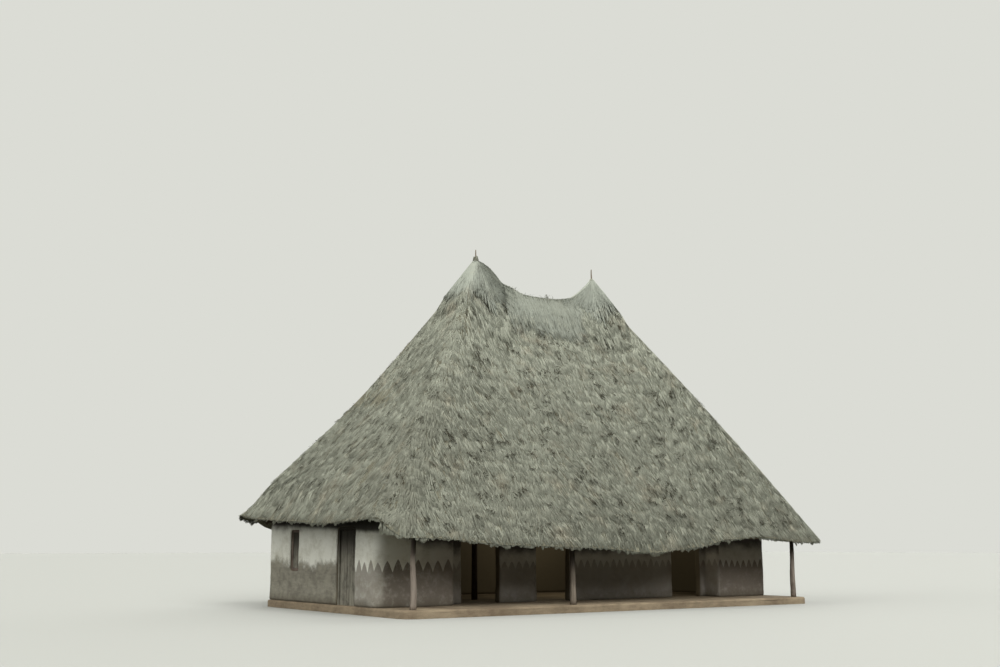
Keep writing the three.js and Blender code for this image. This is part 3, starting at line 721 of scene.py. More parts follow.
class Bench:
    """Small modelling steps that every piece uses."""

    @staticmethod
    def only(piece: Piece) -> None:
        """Selects one object and nothing else."""
        for other in bpy.context.view_layer.objects:
            other.select_set(False)
        piece.select_set(True)
        bpy.context.view_layer.objects.active = piece

    @staticmethod
    def settle(piece: Piece) -> Piece:
        """Moves an object's place into its mesh, so that the object sits at the origin."""
        Bench.only(piece)
        bpy.ops.object.transform_apply(location=True, rotation=True, scale=True)
        return piece

    @staticmethod
    def finish_with(piece: Piece, kind: str, **settings: object) -> None:
        """Adds a modifier and applies it.

        Args:
            piece: The object.
            kind: The modifier's type.
            settings: Its settings.
        """
        Bench.only(piece)
        made = piece.modifiers.new(kind.lower(), kind)
        for name, value in settings.items():
            setattr(made, name, value)
        bpy.ops.object.modifier_apply(modifier=made.name)

    @staticmethod
    def opened(piece: Piece) -> bmesh.types.BMesh:
        """Opens an object for editing."""
        Bench.only(piece)
        bpy.ops.object.mode_set(mode="EDIT")
        return bmesh.from_edit_mesh(piece.data)

    @staticmethod
    def pick(piece: Piece, shape: bmesh.types.BMesh, wanted: list[bool]) -> None:
        """Selects edges of an opened object and nothing else.

        Args:
            piece: The object.
            shape: Its opened mesh.
            wanted: Whether each edge is selected.
        """
        for part in (*shape.faces, *shape.edges, *shape.verts):
            part.select = False
        for edge, on in zip(shape.edges, wanted):
            edge.select = on
        bmesh.update_edit_mesh(piece.data)

    @staticmethod
    def points(piece: Piece) -> Array:
        """Gives an object's vertices as rows of three numbers."""
        found = np.empty(len(piece.data.vertices) * 3)
        piece.data.vertices.foreach_get("co", found)
        return found.reshape(-1, 3)

    @staticmethod
    def set_points(piece: Piece, points: Array) -> None:
        """Moves an object's vertices."""
        piece.data.vertices.foreach_set("co", points.ravel())
        piece.data.update()

    @staticmethod
    def add_object(name: str, data: bpy.types.ID) -> Piece:
        """Adds an object with its data to the scene."""
        made = bpy.data.objects.new(name, data)
        bpy.context.scene.collection.objects.link(made)
        return made

    @staticmethod
    def copy_of(name: str, nodes: tuple[str, ...]) -> Piece:
        """Copies solids of the frame into one new object, with their loose corners merged.

        Args:
            name: The new object's name.
            nodes: The solids' names.

        Returns:
            The new object.
        """
        made = bmesh.new()
        for node in nodes:
            made.from_mesh(frame["nodes"][node].data)
        bmesh.ops.remove_doubles(made, verts=made.verts, dist=1e-4)
        mesh = bpy.data.meshes.new(name)
        made.to_mesh(mesh)
        made.free()
        return Bench.add_object(name, mesh)

    @staticmethod
    def mesh_of(name: str, points: Array, faces: Array, lay: Array) -> Piece:
        """Makes an object of equal faces.

        Args:
            name: The object's name.
            points: The vertices.
            faces: The faces, a row of vertex numbers each.
            lay: U and V for each vertex.

        Returns:
            The object.
        """
        mesh = bpy.data.meshes.new(name)
        count, corners = faces.shape
        mesh.vertices.add(len(points))
        mesh.vertices.foreach_set("co", points.astype(np.float32).ravel())
        mesh.loops.add(count * corners)
        mesh.loops.foreach_set("vertex_index", faces.astype(np.int32).ravel())
        mesh.polygons.add(count)
        mesh.polygons.foreach_set("loop_start", np.arange(0, count * corners, corners, dtype=np.int32))
        mesh.update(calc_edges=True)
        uv = mesh.uv_layers.new(name=UV_NAME)
        uv.data.foreach_set("uv", lay[faces.ravel()].astype(np.float32).ravel())
        return Bench.add_object(name, mesh)

    @staticmethod
    def deliver(
        piece: Piece, material: Material, slot: str, nodes: tuple[str, ...] = (), body: str = HOUSE
    ) -> None:
        """Dresses a finished piece and puts it on its body.

        Args:
            piece: The object.
            material: Its material.
            slot: The record's slot for the piece; not used.
            nodes: The solids that it stands for.
            body: The body that it rides on.
        """
        piece.data.materials.clear()
        piece.data.materials.append(material)
        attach(piece, body)
        if nodes:
            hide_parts(*nodes)
        LOG.info("%s: %d triangles", piece.name, sum(len(p.vertices) - 2 for p in piece.data.polygons))


@dataclass(frozen=True)
class RoofForm:
    """The outer surface of the thatch, as the solids have it.

    A point's share t runs from 0 at the ridge to 1 at the eave. Pairs hold the value of the left and the
    right end, or of the front and the back, where nothing else is said.

    The nominal heights are those of straight slopes at the eave, from which it droops to the listed
    heights. The step is the part of a corner's turn in which the eave changes from the end's height to the
    long side's. The pack values say how much fuller the grass is where the saddle meets the left cap: how
    high, how far from the ridge's left end, and how wide along the ridge and down the slopes. The swell
    values say how far the thatch of the left end is packed up over its solid, and the shares, the X and the
    Y where that starts and is full.
    """

    eave_x: float = 7.26
    eave_y: float = 4.24
    eave_r: float = 0.75
    ridge_half: float = 2.09
    slot: float = 0.06
    ridge_z: float = 8.48
    deep: float = 0.4
    droop_from: float = 0.9
    apex_rise: tuple[float, float] = (0.8, 0.6)
    bow: tuple[float, float] = (-0.22, 0.15)
    end_nominal: tuple[float, float] = (2.19, 1.8)
    long_nominal: tuple[float, float] = (1.66, 1.76)
    step: tuple[float, float] = (0.2, 0.75)
    front_eave: tuple[tuple[float, float], ...] = (
        (-6.16, 1.75), (-3.7, 1.59), (-1.3, 1.53), (0.4, 1.41),
        (2.1, 1.55), (3.0, 1.74), (4.2, 1.82), (6.16, 1.69),
    )
    back_eave: tuple[tuple[float, float], ...] = (
        (-6.16, 2.23), (-4.6, 2.01), (-2.3, 1.74), (0.0, 1.69), (3.4, 1.77), (6.16, 1.82),
    )
    left_eave: tuple[tuple[float, float], ...] = (
        (-3.49, 2.18), (-2.4, 2.15), (-1.4, 2.09), (1.0, 2.16), (2.4, 2.24), (3.49, 2.34),
    )
    cap_radius: float = 0.9
    cap_edge: float = 0.11
    cap_tip: float = 9.43
    shoulder: tuple[float, float] = (0.24, 0.0)
    saddle_half: float = 0.42
    saddle_deep: float = 0.13
    pack_high: float = 0.11
    pack_at: float = 1.1
    pack_wide: float = 0.36
    pack_side: float = 0.85
    swell: float = 0.24
    swell_rows: tuple[float, float, float] = (0.45, 0.88, 1.0)
    swell_eave: float = 0.85
    swell_left: tuple[float, float] = (-2.5, -4.5)
    swell_back: tuple[float, float] = (-2.0, 0.5)
    probe: float = 0.03

    @property
    def run(self) -> tuple[float, float]:
        """How far a corner's centre moves along X and Y from ridge to eave."""
        return self.eave_x - self.eave_r - self.ridge_half, self.eave_y - self.eave_r

    @staticmethod
    def curve(points: tuple[tuple[float, float], ...], x: Array) -> Array:
        """Gives an eave's height at x, easing from point to point.

        Args:
            points: Places along the eave, each with its height.
            x: The wanted places.

        Returns:
            The heights.
        """
        known = np.array(points)
        i = np.clip(np.searchsorted(known[:, 0], x, side="right") - 1, 0, len(known) - 2)
        return known[i, 1] + ease(x, known[i, 0], known[i + 1, 0]) * (known[i + 1, 1] - known[i, 1])

    def long_eave(self, y: Array, at: Array) -> Array:
        """Gives the height of the front or the back eave, whichever y is nearer, at an X."""
        return np.where(y < 0, self.curve(self.front_eave, at), self.curve(self.back_eave, at))

    def end_eave(self, x: Array, at: Array) -> Array:
        """Gives the height of the left or the right eave, whichever x is nearer, at a Y."""
        return np.where(x < 0, self.curve(self.left_eave, at), self.end_nominal[1])

    def surface(self, t: Array, rise: object, bow: object, nominal: object, eave: object) -> Array:
        """Gives the height of the thatch.

        Args:
            t: Share of the way from ridge to eave.
            rise: How far the ridge climbs there.
            bow: How far the slope swells.
            nominal: Height of the straight slope at the eave.
            eave: Real height of the eave.

        Returns:
            The heights.
        """
        droop = np.maximum(0, (t - self.droop_from) / (1 - self.droop_from)) ** 2
        straight = self.ridge_z + t * (nominal - self.ridge_z)
        return straight + rise * (1 - t) + bow * 4 * t * (1 - t) + droop * (eave - nominal)

    def on_long(self, x: Array, y: Array) -> tuple[Array, Array, Array]:
        """Finds points of the plan on the two long faces.

        Args:
            x: The points' X.
            y: The points' Y.

        Returns:
            Their share of the way from ridge to eave, the height, and which of them lie on those faces.
        """
        t = np.maximum(0, (np.abs(y) - self.slot) / (self.eave_y - self.slot))
        half = self.ridge_half + t * self.run[0]
        share = np.clip(x / half, -1, 1)
        eave = self.long_eave(y, share * (self.eave_x - self.eave_r))
        rise = np.where(share < 0, *self.apex_rise) * np.abs(share) ** 3
        bow = self.bow[0] + (share + 1) / 2 * (self.bow[1] - self.bow[0])
        return t, self.surface(t, rise, bow, np.where(y < 0, *self.long_nominal), eave), np.abs(x) <= half

    def on_end(self, x: Array, y: Array) -> tuple[Array, Array, Array]:
        """Finds points of the plan on the flat parts of the two ends.

        Args:
            x: The points' X.
            y: The points' Y.

        Returns:
            Their share of the way from ridge to eave, the height, and which of them lie on those parts.
        """
        reach = self.ridge_half + self.slot
        t = np.maximum(0, (np.abs(x) - reach) / (self.eave_x - reach))
        flat = self.run[1]
        eave = self.end_eave(x, np.clip(y / np.maximum(t, 1e-6), -flat, flat))
        rise, bow, nominal = (np.where(x < 0, *pair) for pair in (self.apex_rise, self.bow, self.end_nominal))
        return t, self.surface(t, rise, bow, nominal, eave), np.abs(y) <= t * flat

    def on_corner(self, x: Array, y: Array) -> tuple[Array, Array]:
        """Finds points of the plan on the rounded corners.

        Args:
            x: The points' X.
            y: The points' Y.

        Returns:
            Their share of the way from ridge to eave, and the height.
        """
        cx, cy = self.run
        qx, ay = np.abs(x) - self.ridge_half, np.abs(y)
        grow = self.eave_r - self.slot
        a = cx * cx + cy * cy - grow * grow
        b = qx * cx + ay * cy + self.slot * grow
        c = qx * qx + ay * ay - self.slot**2
        t = np.maximum(0, (b - np.sqrt(np.maximum(0, b * b - a * c))) / a)
        turn = np.clip(np.arctan2(ay - t * cy, qx - t * cx) / QUARTER, 0, 1)
        long_side = self.long_eave(y, np.sign(x) * (self.eave_x - self.eave_r))
        end_side = self.end_eave(x, np.sign(y) * cy)
        eave = end_side + ease(turn, *self.step) * (long_side - end_side)
        rise, bow, nominal = (np.where(x < 0, *pair) for pair in (self.apex_rise, self.bow, self.end_nominal))
        nominal = nominal + turn * (np.where(y < 0, *self.long_nominal) - nominal)
        return t, self.surface(t, rise, bow, nominal, eave)

    def locate(self, x: Array, y: Array) -> tuple[Array, Array]:
        """Finds points of the plan on the thatch.

        Args:
            x: The points' X.
            y: The points' Y.

        Returns:
            Their share of the way from ridge to eave, and the thatch's height.
        """
        long_t, long_z, is_long = self.on_long(x, y)
        end_t, end_z, is_end = self.on_end(x, y)
        corner_t, corner_z = self.on_corner(x, y)
        t = np.where(is_long, long_t, np.where(is_end, end_t, corner_t))
        z = np.where(is_long, long_z, np.where(is_end, end_z, corner_z))
        return t, z + self.swelling(x, y, t)

    def swelling(self, x: Array, y: Array, t: Array) -> Array:
        """Gives how far the thatch of the left end is packed up over the solid, low on its back half.

        Args:
            x: The points' X.
            y: The points' Y.
            t: Their shares of the way from ridge to eave.

        Returns:
            The heights.
        """
        first, full, last = self.swell_rows
        grow = ease(t, first, full) - self.swell_eave * ease(t, full, last)
        return self.swell * grow * ease(x, *self.swell_left) * ease(y, *self.swell_back)

    def height(self, x: Array, y: Array) -> Array:
        """Gives the height of the thatch over points of the plan."""
        return self.locate(x, y)[1]

    def cap_lift(self, end: int, x: Array, y: Array) -> Array:
        """Gives how thick a cap is over points of the plan, or a negative value outside it.

        Args:
            end: -1 for the left cap and 1 for the right one.
            x: The points' X.
            y: The points' Y.

        Returns:
            The thickness.
        """
        d = np.hypot(x - end * self.ridge_half, y)
        share = np.clip(d / self.cap_radius, 0, 1)
        lift = self.cap_tip - self.ridge_z - self.apex_rise[end > 0]
        inward = np.maximum(0, -end * (x - end * self.ridge_half) / np.maximum(d, 1e-6))
        full = self.shoulder[end > 0] * inward * np.sin(math.pi * share)
        return np.where(d <= self.cap_radius, lift + share * (self.cap_edge - lift) + full, -1.0)

    def covered(self, x: Array, y: Array) -> Array:
        """Gives the height of the caps and the saddle, or of the thatch beside them.

        Args:
            x: The points' X.
            y: The points' Y.

        Returns:
            The heights.
        """
        on_saddle = (np.abs(y) <= self.saddle_half) & (np.abs(x) <= self.ridge_half)
        extra = np.where(on_saddle, self.saddle_deep, 0.0)
        for end in (-1, 1):
            cap = self.cap_lift(end, x, y)
            extra = np.where(cap >= 0, cap, extra)
        return self.height(x, y) + extra

    def packing(self, x: Array, y: Array) -> Array:
        """Gives how much fuller the grass is where the saddle runs up into the left cap.

        Args:
            x: The points' X.
            y: The points' Y.

        Returns:
            The heights.
        """
        along = np.exp(-(((x + self.ridge_half - self.pack_at) / self.pack_wide) ** 2))
        aside = np.clip(1 - (y / self.pack_side) ** 2, 0, 1) ** 2
        return self.pack_high * along * aside

    def top(self, x: Array, y: Array) -> Array:
        """Gives the height of all the grass over points of the plan."""
        return self.covered(x, y) + self.packing(x, y)

    def normals(self, x: Array, y: Array) -> Array:
        """Gives the way out of the thatch over points of the plan.

        Args:
            x: The points' X.
            y: The points' Y.

        Returns:
            The directions.
        """
        step = self.probe
        dx = (self.height(x + step, y) - self.height(x - step, y)) / (2 * step)
        dy = (self.height(x, y + step) - self.height(x, y - step)) / (2 * step)
        return unit(rows(-dx, -dy, 1.0))

    def lanes(self, face: Face, t: Array, s: Array) -> tuple[Array, Array, Array]:
        """Finds points of the plan on one face.

        Args:
            face: The face.
            t: Shares of the way from ridge to eave.
            s: Shares of the face's half width there, from -1 to 1.

        Returns:
            The points' X and Y, and the plan angle of the way down the slope.
        """
        if face.is_long:
            x = s * (self.ridge_half + t * self.run[0])
            y = face.way * (self.slot + t * (self.eave_y - self.slot))
            return x, y, np.full_like(x, face.way * QUARTER)
        flat = t * self.run[1]
        radius = self.slot + t * (self.eave_r - self.slot)
        place = np.abs(s) * (flat + radius * QUARTER)
        turn = np.clip(place - flat, 0, None) / radius
        out = self.ridge_half + t * self.run[0] + radius * np.cos(turn)
        y = np.sign(s) * (np.minimum(place, flat) + radius * np.sin(turn))
        return face.way * out, y, np.arctan2(np.sign(s) * np.sin(turn), face.way * np.cos(turn))

    def corner_arc(self, t: float) -> float:
        """Gives the length of a corner's arc at a share of the slope."""
        return (self.slot + t * (self.eave_r - self.slot)) * QUARTER

    def half_width(self, face: Face, t: float) -> float:
        """Gives half the width of a face at a share of its slope."""
        return self.ridge_half + t * self.run[0] if face.is_long else t * self.run[1] + self.corner_arc(t)

    def slope_length(self, face: Face) -> float:
        """Gives the length of a face's slope.

        Args:
            face: The face.

        Returns:
            The length from ridge to eave.
        """
        reach = self.eave_y if face.is_long else self.eave_x - self.ridge_half
        low = self.long_nominal if face.is_long else self.end_nominal
        return math.hypot(reach, self.ridge_z - low[face.way > 0])


FORM = RoofForm()


@dataclass
class StrawHeap:
    """Collects straight stalks, each a closed three-sided spike whose thick end stands up by the crown."""

    crown: float = 0.04
    parts: list[tuple[Array, ...]] = field(default_factory=list)

    def add(self, roots: Array, ends: Array, ups: Array, widths: Array, tones: Array, blunt: Array) -> None:
        """Adds stalks."""
        self.parts.append((roots, ends, ups, widths, tones, blunt))

    def make(self, name: str) -> Piece:
        """Makes one object of all the stalks.

        Args:
            name: The object's name.

        Returns:
            The object.
        """
        roots, ends, ups, widths, tones, blunt = (np.concatenate(part) for part in zip(*self.parts))
        along = unit(ends - roots)
        side = unit(np.cross(along, ups))
        thick = np.where(blunt[:, None], ends, roots)
        tip = np.where(blunt[:, None], roots, ends)
        half = side * widths[:, None] / 2
        crown = np.cross(side, along) * widths[:, None] * self.crown
        points = np.stack([thick - half, thick + half, thick + crown, tip], axis=1)
        upper = np.array([[0, 2, 1], [2, 0, 3], [1, 2, 3], [0, 1, 3]])
        lower = np.array([[0, 1, 2], [1, 0, 3], [2, 1, 3], [0, 2, 3]])
        faces = np.where(blunt[:, None, None], upper, lower) + 4 * np.arange(len(roots))[:, None, None]
        v = np.where(blunt[:, None], [[1, 1, 1, 0]], [[0, 0, 0, 1]])
        lay = rows(tones[:, None], v)
        return Bench.mesh_of(name, points.reshape(-1, 3), faces.reshape(-1, 3), lay.reshape(-1, 2))


@dataclass
class FaceThatch:
    """The loose grass of one face of the roof, laid in bundles from the eave to the ridge.

    Bundles lie a pitch apart in a course, between the first and the last share of the slope. The fringe is
    how far the lowest ends hang past the eave, as a share of the slope. Wide is a bundle's spread end, and
    lean is how far its stalks lie aslant. The ridge_shade, foot and corner values are how much darker the
    grass is at the ridge, by the eave and low on the hip by the porch; the darkening at the ridge and on the
    hip is painted shade. The flecks, dark tufts whose dark tone is painted shade for the shadows under the
    ends of bundles, are counted on a square metre, and the stubs, the hanging stalks and the wisps that those
    are drawn together to on a metre of the eave. The long tuft of the porch's left corner starts at
    corner_turn, a share of the corner's turn, and hangs down by corner_low.
    """

    name: str
    face: Face
    seed: int
    fringe: float = 0.012
    bundle: int = 20
    pitch: float = 0.178
    course: float = 0.19
    courses: tuple[float, float] = (0.035, 0.998)
    wide: float = 0.30
    long_stalk: float = 0.46
    tone: float = 0.61
    lean: float = 0.0
    ridge_shade: float = 0.0
    foot: float = 0.0
    corner: float = 0.0
    flecks_each_metre: float = 6.0
    fleck_stalks: int = 9
    stubs_each_metre: int = 160
    edge_deep: float = 0.24
    tuft_stalks_each_metre: int = 260
    tuft_hang: float = 0.13
    wisps_each_metre: float = 5.0
    corner_turn: float = 0.3
    corner_low: float = 1.8

    def __post_init__(self) -> None:
        """Starts the random draws, and the heap where the stalks go."""
        self.draw = np.random.default_rng(self.seed)
        self.heap = StrawHeap()

    def bundles(self) -> tuple[Array, Array]:
        """Lays out the lower ends of the bundles in uneven courses.

        Returns:
            The bundles' shares of the slope and of the half width.
        """
        draw = self.draw
        length = FORM.slope_length(self.face)
        levels = np.linspace(*self.courses, int(length / self.course))
        each = [max(2, int(2 * FORM.half_width(self.face, t) / self.pitch)) for t in levels]
        t = np.repeat(levels, each)
        s = np.concatenate([(np.arange(n) + 0.5) / n * 2 - 1 for n in each])
        shift = draw.normal(0, 0.05, len(t)) + drift(s * 9, t * 30, self.seed) * 0.11
        last = t > 0.985
        t = np.clip(t + np.where(last, np.minimum(shift * 0.4, 0), shift) / length, 0.03, 1.0)
        return t, np.clip(s + draw.uniform(-0.8, 0.8, len(s)) / np.repeat(each, each), -1, 1)

    def under_caps(self, x: Array, y: Array) -> Array:
        """Tells which bundles would lie under the caps' own grass or under the saddle's.

        Args:
            x: The bundles' X.
            y: The bundles' Y.

        Returns:
            A mask.
        """
        hidden = (np.abs(y) < 0.36) & (np.abs(x) < 1.5)
        for cap in CAPS:
            hidden |= (FORM.cap_lift(cap.end, x, y) >= 0) & (FORM.covered(x, y) > cap.edge_z + 0.12)
        return hidden

    @staticmethod
    def thinned(t: Array, power: float = 1.0) -> Array:
        """Gives how thick the loose grass lies, thin at the ridge and full from the middle down."""
        return 0.35 + 0.65 * np.clip(t / 0.5, 0, 1) ** power

    def make(self, material: Material) -> None:
        """Builds the piece.

        Args:
            material: The straw.
        """
        self.lay_bundles()
        self.hang_eave()
        self.hang_tufts()
        self.scatter_flecks()
        Bench.deliver(self.heap.make(self.name), material, "thatch")

    def lay_bundles(self) -> None:
        """Lays the bundles on the slope."""
        draw = self.draw
        t, s = self.bundles()
        x, y, angle = FORM.lanes(self.face, t, s)
        shown = ~self.under_caps(x, y)
        t, s, x, y, angle = (part[shown][:, None] for part in (t, s, x, y, angle))
        one, all_of_it = (len(t), 1), (len(t), self.bundle)
        slope = 0.53 if self.face.is_long else 0.63
        bend = drift(x[:, 0] * 0.7, y[:, 0] * 0.7, self.seed + 9)[:, None] * 0.5
        lean = angle + self.lean + draw.normal(0, 0.2, one) + bend
        wide = self.wide * draw.uniform(0.6, 1.3, one)
        thick = draw.uniform(0.009, 0.018, one)
        thick = np.where(draw.random(one) < 0.03, thick + draw.uniform(0.02, 0.04, one), thick)
        thick *= self.thinned(t, 1.5)
        # Painted shade: ridge_shade darkens the grass towards the ridge, corner low on the front hip; foot
        # darkens it by the eave.
        tone = draw.normal(self.tone, 0.035, one) - self.ridge_shade * np.clip(1 - t, 0, 1) ** 0.6
        tone -= self.foot * share_of(t, 0.74, 0.92)
        tone -= self.corner * share_of(-s, 0.5, 0.8) * share_of(t, 0.5, 0.75)

        across = draw.uniform(-0.5, 0.5, all_of_it)
        rag = slope * (draw.normal(0, 0.04, all_of_it) - 0.05 * (2 * across) ** 2)
        aside = across * wide
        ex = x - np.sin(angle) * aside + np.cos(angle) * rag
        ey = y + np.cos(angle) * aside + np.sin(angle) * rag
        way = lean + across * 0.30 + draw.normal(0, 0.12, all_of_it)
        run = self.long_stalk * slope * draw.uniform(0.6, 1.15, all_of_it)
        rx, ry = ex - np.cos(way) * run, ey - np.sin(way) * run
        lift = thick * (0.65 + 0.35 * draw.random(all_of_it))
        tones = tone + draw.normal(0, 0.012, all_of_it)
        rx, ry, ex, ey, lift, tones = (part.ravel() for part in (rx, ry, ex, ey, lift, tones))

        count = len(rx)
        t_root, t_end = FORM.locate(rx, ry)[0], FORM.locate(ex, ey)[0]
        limit = 1 + self.fringe * draw.random(count) ** 1.6
        share = np.clip((limit - t_root) / np.maximum(t_end - t_root, 1e-6), 0, 1)
        ex, ey = rx + (ex - rx) * share, ry + (ey - ry) * share
        ups = FORM.normals(ex, ey)
        roots = rows(rx, ry, FORM.top(rx, ry)) + ups * 0.004
        ends = rows(ex, ey, FORM.top(ex, ey)) + ups * lift[:, None]
        widths = draw.uniform(0.016, 0.036, count)
        turned = ups + draw.normal(0, 0.03, (count, 3))
        self.heap.add(roots, ends, turned, widths, tones, draw.random(count) < 0.65)

    def scatter_flecks(self) -> None:
        """Adds small tufts that stick out here and there, their dark tone painted shade for the shadows under
        bundle ends.
        """
        draw = self.draw
        top, low = FORM.half_width(self.face, 0.0), FORM.half_width(self.face, 1.0)
        count = int((top + low) * FORM.slope_length(self.face) * self.flecks_each_metre)
        t = draw.uniform(0.1, 0.97, count)
        t = t[draw.random(count) < (top + t * (low - top)) / low]
        place = FORM.lanes(self.face, t, draw.uniform(-1, 1, len(t)))
        x, y, angle = (part[:, None] for part in place)
        one, tuft = (len(t), 1), (len(t), self.fleck_stalks)
        size = draw.uniform(0.4, 1.0, one)
        way = angle + draw.normal(self.lean * 3, 0.6, one) + draw.normal(0, 0.35, tuft)
        ex = x + draw.normal(0, 0.08, tuft) * size
        ey = y + draw.normal(0, 0.04, tuft) * size
        run = draw.uniform(0.05, 0.12, tuft) * size
        rx, ry = ex - np.cos(way) * run, ey - np.sin(way) * run
        rx, ry, ex, ey = (part.ravel() for part in (rx, ry, ex, ey))
        ups = FORM.normals(ex, ey)
        thick = ups * (0.04 * self.thinned(FORM.locate(ex, ey)[0]))[:, None]
        roots = rows(rx, ry, FORM.top(rx, ry)) + thick * 0.8
        ends = rows(ex, ey, FORM.top(ex, ey)) + thick * draw.uniform(1.0, 1.5, (len(ex), 1))
        # The flecks' dark tones are painted shade for the shadows under the ends of bundles.
        tones = draw.uniform(-0.4, 0.14, len(ex))
        widths = draw.uniform(0.014, 0.028, len(ex))
        self.heap.add(roots, ends, ups, widths, tones, draw.random(len(ex)) < 0.5)

    def edge_of(self, s: Array) -> tuple[Array, Array, Array, Array]:
        """Finds points on the edge of the eave."""
        x, y, angle = FORM.lanes(self.face, np.full(len(s), 1.0), s)
        return x, y, angle, FORM.height(x * 0.9995, y * 0.9995)

    def hang_eave(self) -> None:
        """Adds the ends that show in the cut edge of the eave and under it."""
        draw = self.draw
        count = int(FORM.half_width(self.face, 1.0) * 2 * self.stubs_each_metre)
        x, y, angle, low = self.edge_of(draw.uniform(-1, 1, count))
        depth = draw.random(count) ** 1.2
        out_x, out_y = np.cos(angle), np.sin(angle)
        inward = depth * self.edge_deep
        back = inward + 0.10
        roots = rows(x - out_x * back, y - out_y * back, low + 0.12)
        reach = draw.uniform(-0.02, 0.03, count)
        way = angle + draw.normal(0, 0.3, count)
        ex, ey = x - out_x * inward + np.cos(way) * reach, y - out_y * inward + np.sin(way) * reach
        ends = rows(ex, ey, low - draw.uniform(-0.01, 0.04, count))
        # Stubs deeper in the eave are darker: painted shade under the eave.
        tones = draw.normal(0.45, 0.12, count) - 0.4 * depth
        ups = rows(out_x, out_y, 0.7)
        self.heap.add(roots, ends, ups, draw.uniform(0.010, 0.022, count), tones, draw.random(count) < 0.75)

    def hang_tufts(self) -> None:
        """Adds the uneven tufts that hang over the edge of the eave."""
        draw = self.draw
        half = FORM.half_width(self.face, 1.0)
        count = int(half * 2 * self.tuft_stalks_each_metre)
        s = draw.uniform(-1, 1, count)
        rx, ry, _ = FORM.lanes(self.face, draw.uniform(0.955, 0.995, count), s)
        wisps = half * self.wisps_each_metre
        warp = drift(s * half * 1.7, 7.0, self.seed) * 1.6
        number = np.floor(s * wisps + warp)
        aside = number + 0.5 - s * wisps - warp
        pull = draw.uniform(0, 0.55, count) * aside / wisps
        x, y, angle, low = self.edge_of(np.clip(s + pull, -1, 1))
        swing = 0.9 * drift(s * half * 2.1, 5.0, self.seed) + 0.5 * drift(s * half * 6.5, 9.0, self.seed)
        each = 0.8 * drift(number * 0.73, 3.0, self.seed)
        hang = self.tuft_hang * np.clip(0.45 + swing + each, 0.05, 1.2) * (1 - 0.6 * np.abs(aside))
        if self.face is Face.LEFT:
            arc = (-s * half - FORM.run[1]) / FORM.corner_arc(1.0)
            hang = np.where(arc > self.corner_turn, np.maximum(hang, low - self.corner_low), hang)
        hang *= draw.uniform(0.3, 1.0, count) ** 0.5
        way = angle + draw.normal(0, 0.25, count)
        out = draw.uniform(-0.02, 0.012, count)
        roots = rows(rx, ry, FORM.height(rx, ry) + draw.uniform(0.0, 0.03, count))
        ends = rows(x + np.cos(way) * out, y + np.sin(way) * out, low - hang)
        ups = rows(np.cos(angle), np.sin(angle), 0.9) + draw.normal(0, 0.2, (count, 3))
        tones = draw.normal(0.54, 0.08, count)
        self.heap.add(roots, ends, ups, draw.uniform(0.012, 0.026, count), tones, draw.random(count) < 0.8)


@dataclass
class ReedBundle:
    """Collects bent stalks, each a closed three-sided reed that stands up by the crown along its own line.

    The way up is a little aslant, so that an upright reed has a side too.
    """

    crown: float = 0.2
    upwards: tuple[float, float, float] = (0.001, 0.001, 1.001)
    parts: list[tuple[Array, Array, Array]] = field(default_factory=list)

    def add(self, spines: Array, widths: object, tones: Array) -> None:
        """Adds reeds."""
        self.parts.append((spines, np.broadcast_to(widths, spines.shape[:2]), tones))

    def make(self, name: str) -> Piece:
        """Makes one object of all the reeds.

        Args:
            name: The object's name.

        Returns:
            The object.
        """
        points, faces, lays = [], [], []
        first = 0
        for spines, widths, tones in self.parts:
            count, steps = spines.shape[:2]
            along = unit(np.gradient(spines, axis=1))
            side = unit(np.cross(along, self.upwards))
            half = side * widths[..., None] / 2
            crown = np.cross(side, along) * widths[..., None] * self.crown
            points.append(np.stack([spines - half, spines + half, spines + crown], axis=2).reshape(-1, 3))
            index = first + np.arange(count * steps * 3).reshape(count, steps, 3)
            for i in range(3):
                k = (i + 1) % 3
                a, b, c, e = index[:, :-1, i], index[:, :-1, k], index[:, 1:, k], index[:, 1:, i]
                faces += [rows(a, e, b).reshape(-1, 3), rows(b, e, c).reshape(-1, 3)]
            faces += [index[:, 0, :], index[:, -1, ::-1]]
            v = np.linspace(0, 1, steps)[None, :, None]
            lays.append(rows(tones[:, None, None], np.broadcast_to(v, (count, steps, 3))).reshape(-1, 2))
            first += count * steps * 3
        return Bench.mesh_of(name, np.concatenate(points), np.concatenate(faces), np.concatenate(lays))


